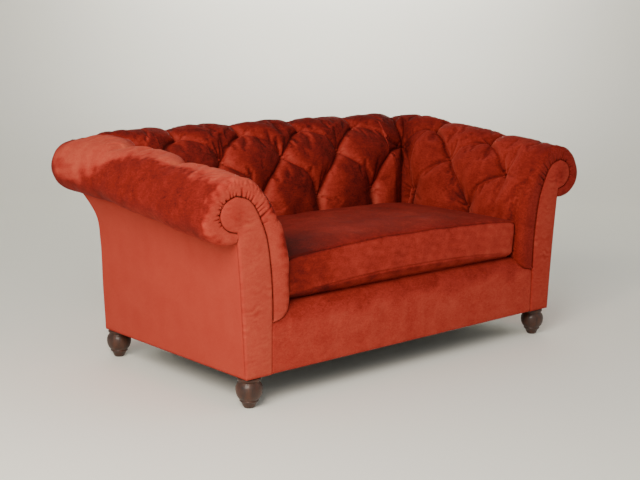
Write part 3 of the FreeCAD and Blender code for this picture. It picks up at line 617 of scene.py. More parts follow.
def shapePad(columns, look, seed, side):
    # The outer grid of a pad before its cloth settles, with what the later steps need
    count, swell, seam = columns
    rng = np.random.default_rng(seed)
    c, swell, seam = count[:, None], swell[:, None], seam[:, None]
    full = standing(c, outer[None, :, 0], outer[None, :, 1], side)
    step = np.linalg.norm(np.gradient(full, axis=0), axis=2)
    perColumn = step / np.maximum(np.abs(np.gradient(c, axis=0)), 1e-9)
    along = np.cumsum(step, axis=0)
    lines, nearest, shine = pleats(c * (side or 1), perColumn, look, rng)
    corner, cornerDistance, fromMitre = cornerFold(c, along, look)
    depth = sum(line**5 for line in lines + [corner]) ** 0.2
    nearest = np.minimum(nearest, cornerDistance)
    spots = buttonSpots(count)
    pits = buttonPits([spot for spot in spots if abs(spot[1]) != 2], count, along, look, rng)
    pits = pits * smooth((fromMitre - 2) / 18)
    atCorner = np.hypot(fromMitre, run - middleRow)
    pits = pits + look["pitDepth"] * bell(atCorner, look["pitWidth"])
    # the padding is never quite even, and swells a little between its pleats
    x, y, z = full[..., 0], full[..., 1], full[..., 2]
    even = lump(x + y * 0.6, z * 1.3 + y * 0.8, 17, 210.0)
    fine = lump(x - y * 0.7, z + y * 0.9, 19, 70.0)
    depth = depth + pits - 3.0 * smooth(nearest / 90.0) + 1.8 * even + 0.8 * fine
    # the pleats at the corner also pull its crest down
    above = run - topRow
    onCrest = smooth((above + 10) / 50) * (1 - smooth((above - 110) / 90))
    depth = depth + look["cornerDrop"] * bell(fromMitre, 85.0) * onCrest
    tuck = smooth((run - (runEnd - 70)) / 60)
    bottom = smooth((110 - run) / 70)
    depth = depth * (1 - tuck) * (1 - 0.85 * bottom) * smooth((seam - 12) / 55)
    gather = frontGathers(seam, look, rng)

    # pinned at the buttons, along the bottom, in the tuck, at the front and below the scroll,
    # and drawn tight over the outside of the roll
    pinned = np.zeros(depth.shape)
    for spot in spots:
        pinned = np.maximum(pinned, 1 - smooth((np.hypot(*fromSpot(spot, count, along)) - 9) / 8))
    belowScroll = (1 - smooth((seam - 70) / 50)) * (1 - smooth((run - middleRow + 70) / 60))
    for hold in (
        1 - smooth((run - 25) / 40),
        smooth((run - runEnd + 90) / 50),
        1 - smooth((seam - 30) / 40),
        belowScroll,
        smooth((above - 75) / 60),
    ):
        pinned = np.maximum(pinned, hold)
    depth = depth + look["shrink"] * (1 - pinned)

    base = inner[None] + (outer - inner)[None] * swell[..., None]
    place = base - normal[None] * depth[..., None]
    points = standing(c, place[..., 0], place[..., 1], side)
    beyond = outer + normal * 10
    toOut = standing(c, beyond[None, :, 0], beyond[None, :, 1], side) - full
    toOut /= np.linalg.norm(toOut, axis=2, keepdims=True)
    # a gather goes into the padding, which on the front face is towards the back
    crossed = np.cross(np.gradient(points, axis=0), np.gradient(points, axis=1))
    crossed /= np.maximum(np.linalg.norm(crossed, axis=2, keepdims=True), 1e-9)
    if np.sum(crossed * toOut) < 0:
        crossed = -crossed
    return {
        "points": points - crossed * (look["gatherDepth"] * gather)[..., None],
        "outward": crossed,
        "pinned": pinned,
        "full": full,
        "toOut": toOut,
        "gather": gather,
        "seam": seam,
        "spots": spots,
        "count": count,
        "side": side,
        "shine": shine,
    }


def finishPad(name, pad, look, napAndPaintedLightOf):
    pad["relief"] = -np.sum((pad["points"] - pad["full"]) * pad["toOut"], axis=2)
    # the pleats' edges get a painted highlight
    napAndPaintedLight = napAndPaintedLightOf(pad) + napAndPaintedLightLook["shine"] * pad["shine"]
    return padMesh(name, pad, napAndPaintedLight, look["rows"], look["innerEvery"]), placeButtons(pad)


def padMesh(name, pad, napAndPaintedLight, rows, innerEvery):
    # vertices: the outer grid, then the inner one; columns change slowest
    pick = list(range(0, rows, innerEvery))
    if pick[-1] != rows - 1:
        pick.append(rows - 1)
    back = inner[pick] + normal[pick] * 1.2
    backPoints = standing(pad["count"][:, None], back[None, :, 0], back[None, :, 1], pad["side"])
    columns, inRows = len(pad["count"]), len(pick)
    allPoints = np.vstack([pad["points"].reshape(-1, 3), backPoints.reshape(-1, 3)])
    allNapAndPaintedLight = np.concatenate([napAndPaintedLight.reshape(-1), np.full(columns * inRows, napAndPaintedLightLook["hidden"])])
    base = columns * rows
    faces = gridFaces(columns, rows) + gridFaces(columns, inRows, base, flip=True)
    last, lastIn = rows - 1, inRows - 1
    for i in range(columns - 1):
        a, b = i * rows, (i + 1) * rows
        aIn, bIn = base + i * inRows, base + (i + 1) * inRows
        faces.append([a, aIn, bIn, b])
        faces.append([a + last, b + last, bIn + lastIn, aIn + lastIn])
    for i in (0, columns - 1):
        for k in range(lastIn):
            edge = [i * rows + r for r in range(pick[k], pick[k + 1] + 1)]
            faces.append(edge + [base + i * inRows + k + 1, base + i * inRows + k])
    piece = outwards(meshPiece(name, allPoints, faces, velvet, allNapAndPaintedLight))
    # the hidden ends are flat, so that the cover's shading runs on to the mitre
    for face in piece.data.polygons:
        if face.loop_total > 4:
            face.use_smooth = False
    return piece


def placeButtons(pad):
    # Place and outward direction of each button
    buttons = []
    for row, at in pad["spots"]:
        i = int(np.argmin(np.abs(pad["count"] - at)))
        j = int(np.argmin(np.abs(run[0] - rowMarks[row])))
        ends = np.array([outer[j], outer[j] + normal[j] * 20])
        low, high = standing(np.array([at, at]), ends[:, 0], ends[:, 1], pad["side"])
        buttons.append((pad["points"][i, j], (high - low) / np.linalg.norm(high - low)))
    return buttons


# Tone of the velvet from 0 to 1: how far the pile lies open, mixed with painted light on sides that face the lamps
# and painted shade on sides that face away, in creases and in seams
napAndPaintedLightLook = {
    "hidden": 0.3,
    # the inside of the back is kept dark, partly the pile's lay and partly painted shade; the Lit entries are painted
    # light on flanks that face the lamp
    "back": 0.11,
    "backLit": 0.52,
    "left": 0.21,
    # painted light over the left roll's crest
    "leftCrest": 0.57,
    "leftFront": 0.70,
    "right": 0.32,
    "rightLit": 0.38,
    "rightFront": 0.28,
    # painted highlight on ridges and painted shade in creases
    "ridge": 0.16,
    # painted highlight along the pleats' edges
    "shine": 0.14,
    # the right facing is darker than the left: painted shade
    "facing": {-1: 0.76, 1: 0.55},
    "outsideArm": {-1: 0.65, 1: 0.60},
    "outsideBack": 0.62,
    "rail": 0.58,
    "cushion": 0.25,
    "cushionFront": 0.22,
    "button": 0.34,
    "seam": 0.14,  # painted shade in the groove at a seam
    # painted shade in the grooves of the outside panels' seams and hem
    "panelSeam": 0.12,
}


def slopeAcross(pad):
    # Change of depth along the columns, positive where the cover goes in
    count = pad["count"]
    perStep = np.maximum(np.abs(np.gradient(count))[:, None] * sofa["spacing"], 0.5)
    slope = np.gradient(pad["relief"], axis=0) / perStep
    return slope * smooth(np.abs(np.abs(count) - 2.0) / 0.14)[:, None]


def ridges(relief):
    # Painted highlight on ridges, above 0, and painted shade in creases, below 0
    wide = relief.copy()
    for _ in range(6):
        around = wide[1:-1, 1:-1] * 2 + wide[:-2, 1:-1] + wide[2:, 1:-1] + wide[1:-1, :-2] + wide[1:-1, 2:]
        wide[1:-1, 1:-1] = around / 6
    return napAndPaintedLightLook["ridge"] * np.clip((wide - relief) / 1.6, -0.35, 1)


def leftNapAndPaintedLight(pad):
    # Painted light over the crest and painted shade down the outer side, less so towards the back, on top of the
    # pile's lay; painted shade in the gathers' valleys
    a = pad["count"][:, None]
    along = (sofa["mitre"] - (a - 2) * sofa["spacing"]) * np.ones(run.shape)
    edge = topRow + 76 + 140 * smooth((3.1 - a) / 0.9)
    edge = edge + 16 * lump(along, run, 91, 120.0) + 11 * lump(along, run, 92, 34.0)
    crest = smooth((run - middleRow - 40) / (topRow - middleRow)) * (1 - smooth((run - edge) / 62))
    level = napAndPaintedLightLook["left"] + napAndPaintedLightLook["leftCrest"] * crest + 0.12 * smooth((run - edge - 190) / 60)
    front = 1 - smooth((pad["seam"] - 32 - 16 * lump(along, run, 93, 36.0)) / 42)
    napAndPaintedLight = level + front * (napAndPaintedLightLook["leftFront"] - level) - 0.9 * clamp(pad["gather"])
    return towardsCorner(pad, napAndPaintedLight + ridges(pad["relief"]))


def backNapAndPaintedLight(pad):
    # painted light on flanks that face the lamp on the left, painted shade on those that face away, less of both over
    # the crest
    slope = slopeAcross(pad) * (1 - 0.75 * smooth((run - topRow + 30) / 50))
    lit = napAndPaintedLightLook["backLit"] * np.clip(-slope - 0.12, 0, 0.8)
    return napAndPaintedLightLook["back"] + lit - 0.10 * clamp(slope) + ridges(pad["relief"])


def rightNapAndPaintedLight(pad):
    # painted light on flanks that face the lamp, painted shade on those that face away and in the gathers' valleys,
    # and darker near the facing
    slope = slopeAcross(pad)
    level = napAndPaintedLightLook["right"] - 0.08 * (1 - smooth((pad["seam"] - 60) / 90))
    level = level + napAndPaintedLightLook["rightLit"] * clamp(slope - 0.1) - 0.22 * clamp(-slope) + ridges(pad["relief"])
    front = 1 - smooth((pad["seam"] - 55) / 35)
    return towardsCorner(pad, level + front * (napAndPaintedLightLook["rightFront"] - level) - 0.5 * clamp(pad["gather"]))


def towardsCorner(pad, napAndPaintedLight):
    # The arms take on the look of the back as they reach the corner
    outerSide = smooth((run - topRow - 10) / 60)
    blend = smooth((np.abs(pad["count"])[:, None] - 2.0) / (0.55 - 0.45 * outerSide))
    return napAndPaintedLight * blend + backNapAndPaintedLight(pad) * (1 - blend)


pads = {
    "left": shapePad(armColumns(), padLook, 3, -1),
    "back": shapePad(backColumns(), padLook, 8, None),
    "right": shapePad(armColumns(), padLook, 5, 1),
}
# one cloth round both corners: up the left arm, along the back and down the right arm
first, second = len(pads["left"]["count"]), len(pads["back"]["count"])
joined = [
    np.concatenate([pads["left"][key], pads["back"][key][1:], pads["right"][key][::-1][1:]])
    for key in ("points", "outward", "pinned")
]
settled = settle(*joined, padLook)
pads["left"]["points"] = settled[:first]
pads["back"]["points"] = settled[first - 1 : first + second - 1]
pads["right"]["points"] = settled[first + second - 2 :][::-1]
leftPad, leftButtons = finishPad("left_arm_padding", pads["left"], padLook, leftNapAndPaintedLight)
rightPad, rightButtons = finishPad("right_arm_padding", pads["right"], padLook, rightNapAndPaintedLight)
backPad, backButtons = finishPad("back_padding", pads["back"], padLook, backNapAndPaintedLight)
for pad, node in ((leftPad, "left_arm_pad"), (rightPad, "right_arm_pad"), (backPad, "back_pad")):
    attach(pad, "frame")
    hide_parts(node)
print("pads", [len(p.data.polygons) for p in (leftPad, backPad, rightPad)])

coverLook = {
    "facingFront": -2.6,
    "facingBack": 6.5,
    "facingDome": 3.0,
    "seamRound": 2.4,
    "seamDepth": 2.0,
    "hemDepth": 0.9,  # the covers turn under at the bottom, close to the frame
    "panelFront": 7.0,
    "panelThick": 4.0,
    "railThick": 4.0,
    "railHalf": 613.2,
    "panelWear": 0.32,
    "backWear": 0.35,
}

facingLeft = [(0, 98), (-9, 250), (-20, 405), (-28, 490), (-33, 541)]
facingScroll = [(-34, 545), (-52, 548), (-76, 560), (-91, 578), (-96, 600), (-81, 631), (-40, 650)]
facingRight = [
    (98, 98), (98, 262), (97, 351), (90, 432), (76, 515), (52, 575), (26, 620), (5, 638), (-40, 650),
]


def slab(name, front, back, material, napAndPaintedLight, wear=0.8):
    # A closed sheet from two grids of the same rows and columns
    rows, columns = front.shape[:2]
    points = np.vstack([front.reshape(-1, 3), back.reshape(-1, 3)])
    base = rows * columns
    faces = gridFaces(rows, columns) + gridFaces(rows, columns, base, flip=True)
    rim = list(range(columns)) + [i * columns + columns - 1 for i in range(1, rows)]
    rim += [(rows - 1) * columns + j for j in range(columns - 2, -1, -1)]
    rim += [i * columns for i in range(rows - 2, 0, -1)]
    for p, q in zip(rim, rim[1:] + rim[:1]):
        faces.append([p, q, base + q, base + p])
    return outwards(meshPiece(name, points, faces, material, np.tile(napAndPaintedLight.reshape(-1), 2), wear=wear))


def seamInset(ends, lowEdge=None):
    # How far a cover is drawn in beside its seams, and less so along its hem
    inset = coverLook["seamDepth"] * bell(ends, coverLook["seamRound"], 1.5)
    if lowEdge is None:
        return inset
    return inset + coverLook["hemDepth"] * bell(lowEdge, coverLook["seamRound"], 1.5)


def edgeDistance(points, outline):
    # How far each grid point is from the outline
    flat = points.reshape(-1, 2)
    best = np.full(len(flat), 1e9)
    for a, b in zip(outline[:-1], outline[1:]):
        side = b - a
        t = clamp(((flat - a) @ side) / max(side @ side, 1e-9))
        best = np.minimum(best, np.linalg.norm(flat - a - t[:, None] * side, axis=1))
    return best.reshape(points.shape[:2])


def facingPiece(name, side):
    look = coverLook
    left = np.vstack([smoothLine(facingLeft, 70)[0], smoothLine(facingScroll, 70)[0]])
    right = smoothLine(facingRight, 200)[0]
    levels = np.concatenate([np.linspace(98, 541, 64), left[70:, 1], np.linspace(541, 650, 26)])
    levels = np.unique(levels)
    leftIn = np.interp(levels, left[:, 1], left[:, 0])
    rightIn = np.interp(levels, right[:, 1], right[:, 0])
    across = [[0, 0.02, 0.045, 0.08], np.linspace(0.13, 0.87, 14), [0.92, 0.955, 0.98, 1.0]]
    u = leftIn[:, None] + (rightIn - leftIn)[:, None] * np.concatenate(across)[None, :]
    z = np.broadcast_to(levels[:, None], u.shape)
    d = edgeDistance(np.stack([u, z], axis=-1), np.vstack([left, right[::-1], left[:1]]))
    y = look["facingFront"] - look["facingDome"] * (1 - bell(d, 22.0, 1)) + seamInset(d)
    # the scroll is stuffed a little fuller than the stem, with a soft crease between them
    scroll = np.exp(-(((u + 42) / 40) ** 2 + ((z - 598) / 42) ** 2))
    crease = bell(u + 18 + (z - 560) * 0.12, 4.0) * smooth((z - 545) / 20) * smooth((625 - z) / 30)
    y = y - 2.5 * scroll + 1.6 * crease + 0.5 * lump(u, z, 21 + side, 70.0) * smooth(d / 12)
    front = inFrame(side * (sofa["halfBase"] - u), y, z)
    back = front.copy()
    back[..., 1] = look["facingBack"] + sofa["frontPlane"]
    streak = 0.10 * np.sin(z / 3.1 + 2.5 * lump(u, z, 31, 60.0)) * lump(u, z, 33, 90.0)
    # the right facing is darker: painted shade; painted shade in the seam's groove; darker on the scroll; the streaks
    # are crushed pile
    napAndPaintedLight = napAndPaintedLightLook["facing"][side] - 0.2 * scroll - napAndPaintedLightLook["seam"] * bell(d, 3.0, 1) + streak
    return slab(name, front, back, velvet, napAndPaintedLight)


def panelRun(share):
    # An outside panel's line from the floor up, which leans out more from the front to the back
    lean, out, top = 20 - 12 * share, 33 + 27 * share, 543 + 47 * share
    bow = 0.09 * share
    middle = ((-lean - out) / 2 + (top - 405) * bow, (405 + top) / 2 - (out - lean) * bow)
    return smoothLine([(0, 98), (-lean * 0.55, 250), (-lean, 405), middle, (-out, top)], 70)[0]


def outsideArm(name, side):
    look = coverLook
    nearSeam = look["panelFront"] + np.array([0, 1.2, 2.6, 4.5, 7.0, 11.0])
    y = np.concatenate([nearSeam, np.linspace(26, 760, 76), [766, 770, 772.5, 774]])
    share = clamp(y / sofa["depth"])
    runs = np.stack([panelRun(value) for value in share], axis=1)
    u, z = runs[..., 0], runs[..., 1]
    yy = np.broadcast_to(y[None, :], u.shape)
    frontEdge = yy - look["panelFront"]
    rearEdge = sofa["depth"] + np.minimum(-u, 60) * 0.9 - yy
    yy = yy + np.maximum(-u, 0) * smooth((yy - 560) / 215)  # the rear edge follows the mitre outwards
    lowEdge = np.maximum(z - sofa["bottom"], 0)
    ends = np.maximum(np.minimum(frontEdge, rearEdge), 0)
    d = np.minimum(ends, lowEdge)
    inset = seamInset(ends, lowEdge)
    strain = 0.9 * lump(yy, z, 41, 260.0) * smooth(d / 90)
    front = inFrame(side * (sofa["halfBase"] - u - inset - strain), yy, z)
    back = front.copy()
    back[..., 0] -= side * (look["panelThick"] - inset * 0.7)
    # painted shade up under the roll and in the grooves of the seams and hem
    napAndPaintedLight = napAndPaintedLightLook["outsideArm"][side] - 0.3 * smooth((z - 505 - 40 * share[None, :]) / 40)
    napAndPaintedLight = napAndPaintedLight + 0.02 * lump(yy, z, 43, 120.0) - napAndPaintedLightLook["panelSeam"] * bell(d, 3.0, 1)
    return slab(name, front, back, velvet, napAndPaintedLight, look["panelWear"])


def outsideBack(name):
    look, half = coverLook, sofa["halfBase"]
    nearSeam = np.array([0, 2, 4, 7, 12])
    x = np.concatenate([nearSeam - half, np.linspace(-half + 20, half - 20, 120), half - nearSeam[::-1]])
    line = panelRun(1.0)
    u = np.broadcast_to(line[:, 0][:, None], (len(line), len(x)))
    z = np.broadcast_to(line[:, 1][:, None], u.shape)
    xx = x[None, :] * (1 + np.maximum(-u, 0) / half)
    ends = np.maximum(half - np.abs(x)[None, :] + 0 * u, 0)
    lowEdge = np.maximum(z - sofa["bottom"], 0)
    d = np.minimum(ends, lowEdge)
    inset = seamInset(ends, lowEdge)
    strain = 0.9 * lump(xx, z, 47, 300.0) * smooth(d / 60)
    front = inFrame(xx, sofa["depth"] - u - inset - strain, z)
    back = front.copy()
    back[..., 1] -= look["panelThick"] - inset * 0.7
    napAndPaintedLight = napAndPaintedLightLook["outsideBack"] + 0.05 * lump(xx, z, 49, 140.0)
    # painted shade in the grooves of the seams and hem
    napAndPaintedLight = napAndPaintedLight - napAndPaintedLightLook["panelSeam"] * bell(d, 3.0, 1)
    return slab(name, front, back, velvet, napAndPaintedLight, look["backWear"])


# Up the rail and over the stuffed lip: back from the front plane, and up
railProfile = [
    (9, 97), (3, 98.5), (0, 104), (-1, 140), (-1.5, 180), (-1, 225), (1, 250), (6, 270), (15, 287),
    (29, 299), (45, 303.5), (57, 303), (60, 299), (60, 293),
]


def railCover(name):
    # One length of cloth up the rail and over the stuffed lip between the arms
    look = coverLook
    half, lip = look["railHalf"], sofa["armHalf"] - 0.8
    edge = -half + np.array([0, 1.5, 3.5, 7, 14])
    aside = np.linspace(-half + 24, -lip - 1, 14)
    x = np.concatenate([edge, aside, np.linspace(-lip, lip, 200), -aside[::-1], -edge[::-1]])
    line, _ = smoothLine(railProfile, 90)
    along = np.gradient(line, axis=0)
    along /= np.linalg.norm(along, axis=1)[:, None]
    outY, outZ = -along[:, 1][:, None], along[:, 0][:, None]
    z = np.broadcast_to(line[:, 1][:, None], (len(line), len(x)))
    xx = np.broadcast_to(x[None, :], z.shape)
    uneven = 0.8 * lump(xx, z, 51, 150.0) + 0.5 * lump(xx, z, 53, 48.0)
    inset = seamInset(np.maximum(half - np.abs(xx), 0))
    y = line[:, 0][:, None] + uneven * 0.8 + inset
    backY = y - outY * look["railThick"]
    backZ = z - outZ * look["railThick"]
    # under the arms the lip stays below the rounded foot of their padding
    foot = np.array([p[:2] for p in padPairs[:5]], float)
    room = np.interp(sofa["halfBase"] - np.abs(xx), foot[:, 0], foot[:, 1], right=400.0) - 1.5
    z, backZ = np.minimum(z, room), np.minimum(backZ, room - 1.0)
    # darker over the upper rail and the lip: painted shade under the cushion's front
    napAndPaintedLight = napAndPaintedLightLook["rail"] - 0.24 * smooth((z - 228 - 16 * lump(xx, z, 57, 160.0)) / 55)
    napAndPaintedLight = napAndPaintedLight + 0.03 * lump(xx, z * 1.6, 55, 90.0)
    return slab(name, inFrame(xx, y, z), inFrame(xx, backY, backZ), velvet, napAndPaintedLight, 1.0)


for cover, nodes in (
    (facingPiece("left_facing", -1), ["left_scroll_facing"]),
    (facingPiece("right_facing", 1), ["right_scroll_facing"]),
    (outsideArm("left_outside_cover", -1), ["left_outside_arm_panel"]),
    (outsideArm("right_outside_cover", 1), ["right_outside_arm_panel"]),
    (outsideBack("back_outside_cover"), ["outside_back_panel"]),
    (railCover("front_rail_cloth"), ["front_rail_cover", "seat_edge_roll"]),
):
    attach(cover, "frame")
    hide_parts(*nodes)
print("covers made")

cushionLook = {
    "halfWidth": 540.0,
    "front": 24.0,
    "back": 602.0,
    "bottom": 304.0,
    "sideHigh": 136.0,
    "crown": 36.0,
    "edge": 9.0,
    "lowEdge": 20.0,
    "bulge": 9.0,
    "bow": 19.0,
    "seamLow": 18.0,  # the lower seam over the bottom, at the front corners
    "seamBow": 27.0,
    "turnUnder": 20.0,
    "pucker": 1.3,
    "puckerLength": 26,
    "groove": 2.2,
    "step": 7.5,
    "sideStep": 2.6,
    "wear": 0.9,
}


def cushionSteps(half, size):
    # Places across the cushion, closer together at both ends
    fine = np.array([0, 1.5, 3.0, 4.5, 6.0, 8.0, 10.5, 14.0, 18.0, 23.0])
    middle = np.linspace(-half + 29, half - 29, max(3, int(2 * half / size)))
    return np.concatenate([-half + fine, middle, half - fine[::-1]])


def cushionBox(xs, ys, zs):
    # The six sides of a box, divided at the given places
    index, points, faces = {}, [], []

    def quad(*corners):
        for corner in corners:
            if corner not in index:
                index[corner] = len(points)
                points.append([places[at] for places, at in zip((xs, ys, zs), corner)])
        faces.append([index[corner] for corner in corners])

    nx, ny, nz = len(xs) - 1, len(ys) - 1, len(zs) - 1
    for i in range(nx):
        for j in range(ny):
            quad((i, j, 0), (i, j + 1, 0), (i + 1, j + 1, 0), (i + 1, j, 0))
            quad((i, j, nz), (i + 1, j, nz), (i + 1, j + 1, nz), (i, j + 1, nz))
    for k in range(nz):
        for i in range(nx):
            quad((i, 0, k), (i + 1, 0, k), (i + 1, 0, k + 1), (i, 0, k + 1))
            quad((i, ny, k), (i, ny, k + 1), (i + 1, ny, k + 1), (i + 1, ny, k))
        for j in range(ny):
            quad((0, j, k), (0, j, k + 1), (0, j + 1, k + 1), (0, j + 1, k))
            quad((nx, j, k), (nx, j + 1, k), (nx, j + 1, k + 1), (nx, j, k + 1))
    return np.array(points), faces


def cushionPiece(name):
    look = cushionLook
    w = look["halfWidth"]
    d = (look["back"] - look["front"]) / 2
    h = look["sideHigh"] / 2
    step = look["step"]
    p, faces = cushionBox(cushionSteps(w, step), cushionSteps(d, step), cushionSteps(h, look["sideStep"]))
    half = np.array([w, d, h])
    # round the edges: tight at the top seam, softer along the bottom
    top = smooth((p[:, 2] / h + 1) / 2)
    r = (look["lowEdge"] + (look["edge"] - look["lowEdge"]) * top)[:, None]
    core = np.clip(p, -half + r, half - r)
    out = p - core
    length = np.linalg.norm(out, axis=1, keepdims=True)
    unit = out / np.maximum(length, 1e-9)
    q = np.where(length > 1e-9, core + unit * r, p)
    fx, fy, fz = q[:, 0] / w, q[:, 1] / d, q[:, 2] / h
    # crown on top, sides that swell between the seams and draw in between the corners
    roundX = 1 - np.abs(fx) ** 3.2
    roundY = 1 - np.abs(fy) ** 3.0
    topSide = smooth(fz)
    crown = look["crown"] * clamp(roundX) ** 0.8 * clamp(roundY) ** 0.8
    swell = look["bulge"] * (1 - clamp(np.abs(fz + 0.1)) ** 2.2)
    drawX = 6.0 * (1 - fx**4) * (np.abs(fy) ** 6)
    q[:, 1] += np.sign(fy) * np.abs(fy) ** 8 * (swell * (1 - fx**8) - 0.4 * drawX)
    q[:, 0] += np.sign(fx) * np.abs(fx) ** 14 * (swell * 0.4 * (1 - fy**8) - 3)
    q[:, 2] += crown * clamp(fz) ** 3
    # the seams bow up between the front corners, and the lower corners are rounder
    bow = clamp(1 - fx**2)
    q[:, 2] += look["bow"] * bow * smooth((-fy - 0.2) / 0.8) * smooth((fz + 0.6) / 1.4)
    corner = clamp(np.abs(fx) * 12 - 11) ** 2 * clamp(np.abs(fy) * 9 - 8) ** 2
    q[:, 2] += 16 * corner * smooth((-fz + 0.1) / 0.9) - 9 * corner * smooth(fz)
    # the lower seam bows up along the front, and the cover turns under below it
    frontSide = smooth((-fy - 0.9) / 0.08)
    high = q[:, 2] + h
    seamHigh = look["seamLow"] + look["seamBow"] * bow
    under = clamp((seamHigh - high) / seamHigh)
    lowGroove = bell(high - seamHigh, 3.4) * frontSide
    q[:, 1] += frontSide * look["turnUnder"] * under**1.3 + 3.2 * lowGroove
    # the seams run round the top and bottom edges and pull short puckers
    onEdge = (length[:, 0] > 1e-6) * (np.hypot(unit[:, 0], unit[:, 1]) > 0.3)
    groove = bell(unit[:, 2] - 0.70, 0.16) * onEdge
    q -= unit * (look["groove"] * groove)[:, None]
    around = np.where(np.abs(fx) > np.abs(fy), q[:, 1], q[:, 0])
    near = bell(np.abs(h - q[:, 2] + crown * 0.3), 20, 1)
    near = near * clamp(np.maximum(np.abs(fx), np.abs(fy)) * 10 - 9.2)
    wave = around / look["puckerLength"] * math.pi + 1.7 * np.sin(around / 71)
    pucker = np.abs(np.sin(wave)) ** 0.6
    q[:, 1] -= np.sign(fy) * look["pucker"] * near * (1 - pucker) * (np.abs(fy) > 0.9)
    broad, small = lump(q[:, 0], q[:, 1], 61, 260.0), lump(q[:, 0], q[:, 1], 63, 95.0)
    q[:, 2] += 1.6 * broad * topSide * roundX + 0.8 * small * topSide * roundX
    q[:, 1] += 1.2 * lump(q[:, 0], q[:, 2] * 1.4, 65, 110.0) * (np.abs(fy) > 0.97)
    q[:, 1] += (look["front"] + look["back"]) / 2 + sofa["frontPlane"]
    q[:, 2] += look["bottom"] + h
    # the top is darker at its left end: painted shadow of the left arm; the front is a little darker towards the
    # left, lighter towards its foot, and darkest where it turns under: painted shade; painted shade also in the seam
    # grooves
    x, y, z = q.T
    napAndPaintedLight = napAndPaintedLightLook["cushion"] + 0.03 * lump(x, y, 67, 180.0) - 0.25 * smooth((-x - 230) / 260)
    front = napAndPaintedLightLook["cushionFront"] - 0.04 * smooth((-x + 300) / 500) + 0.14 * smooth((-fz - 0.1) / 0.8)
    front = front - 0.26 * smooth(under * 5) + 0.05 * lump(x, z * 1.5, 69, 60.0)
    frontFace = smooth((-fy - 0.93) / 0.05) * (1 - smooth((fz - 0.85) / 0.15))
    napAndPaintedLight = napAndPaintedLight + frontFace * front - napAndPaintedLightLook["seam"] * groove - 0.16 * lowGroove
    piece = outwards(meshPiece(name, q, faces, velvet, napAndPaintedLight, wear=look["wear"]))
    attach(piece, "cushion")
    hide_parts("seat_cushion")
    return piece


cushion = cushionPiece("bench_cushion")
print("cushion", len(cushion.data.polygons))

buttonLook = {"radius": 12.0, "dome": 0.5, "lift": 2.5, "wear": 0.6}


def buttonTree():
    # Instances of one domed button on the points, each turned along its outward vector
    tree = bpy.data.node_groups.new("coveredButtons", "GeometryNodeTree")
    for name, kind in (("Geometry", "Geometry"), ("Radius", "Float"), ("Dome", "Float"), ("Cloth", "Material")):
        tree.interface.new_socket(name, in_out="INPUT", socket_type="NodeSocket" + kind)
    tree.interface.new_socket("Geometry", in_out="OUTPUT", socket_type="NodeSocketGeometry")
    given = addNode(tree, "NodeGroupInput").outputs
    settings = {"Segments": 24, "Rings": 12, "Radius": given["Radius"]}
    ball = addNode(tree, "GeometryNodeMeshUVSphere", settings)
    flat = addNode(tree, "ShaderNodeCombineXYZ", {"X": 1.0, "Y": 1.0, "Z": given["Dome"]})
    dome = addNode(tree, "GeometryNodeTransform", {"Geometry": ball, "Scale": flat})
    outward = addNode(tree, "GeometryNodeInputNamedAttribute", {"Name": "outward"}, data_type="FLOAT_VECTOR")
    along = {"Vector": outward.outputs["Attribute"]}
    turn = addNode(tree, "FunctionNodeAlignRotationToVector", along, axis="Z")
    settings = {"Points": given["Geometry"], "Instance": dome, "Rotation": turn}
    placed = addNode(tree, "GeometryNodeInstanceOnPoints", settings)
    real = addNode(tree, "GeometryNodeRealizeInstances", {"Geometry": placed})
    soft = addNode(tree, "GeometryNodeSetShadeSmooth", {"Geometry": real})
    clad = addNode(tree, "GeometryNodeSetMaterial", {"Geometry": soft, "Material": given["Cloth"]})
    addNode(tree, "NodeGroupOutput", {"Geometry": clad})
    return tree


def plainMesh(source, name):
    # What the modifiers make, as a plain mesh of its own
    bpy.context.view_layer.update()
    graph = bpy.context.evaluated_depsgraph_get()
    mesh = bpy.data.meshes.new_from_object(source.evaluated_get(graph))
    bpy.data.objects.remove(source)
    piece = bpy.data.objects.new(name, mesh)
    bpy.context.scene.collection.objects.link(piece)
    return piece


def buttonSet(name, spots, node, tree):
    mesh = bpy.data.meshes.new(name + "_points")
    mesh.from_pydata([tuple((here + out * buttonLook["lift"]) * 0.001) for here, out in spots], [], [])
    layer = mesh.attributes.new("outward", "FLOAT_VECTOR", "POINT")
    layer.data.foreach_set("vector", np.array([out for _, out in spots], np.float32).reshape(-1))
    source = bpy.data.objects.new(name + "_source", mesh)
    bpy.context.scene.collection.objects.link(source)
    modifier = source.modifiers.new("buttons", "NODES")
    modifier.node_group = tree
    given = {"Radius": buttonLook["radius"] * 0.001, "Dome": buttonLook["dome"], "Cloth": buttonVelvet}
    for item in tree.interface.items_tree:
        if item.in_out == "INPUT" and item.name in given:
            modifier[item.identifier] = given[item.name]
    piece = plainMesh(source, name)
    for label, value in (("napAndPaintedLight", napAndPaintedLightLook["button"]), ("wear", buttonLook["wear"])):
        layer = piece.data.attributes.new(label, "FLOAT", "POINT")
        layer.data.foreach_set("value", np.full(len(piece.data.vertices), value, np.float32))
    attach(piece, "frame")
    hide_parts(node)
    return piece


tree = buttonTree()
buttonSet("left_arm_covered_buttons", leftButtons, "left_arm_buttons", tree)
buttonSet("right_arm_covered_buttons", rightButtons, "right_arm_buttons", tree)
buttonSet("back_covered_buttons", backButtons, "back_buttons", tree)
print("buttons", len(leftButtons) + len(rightButtons) + len(backButtons))

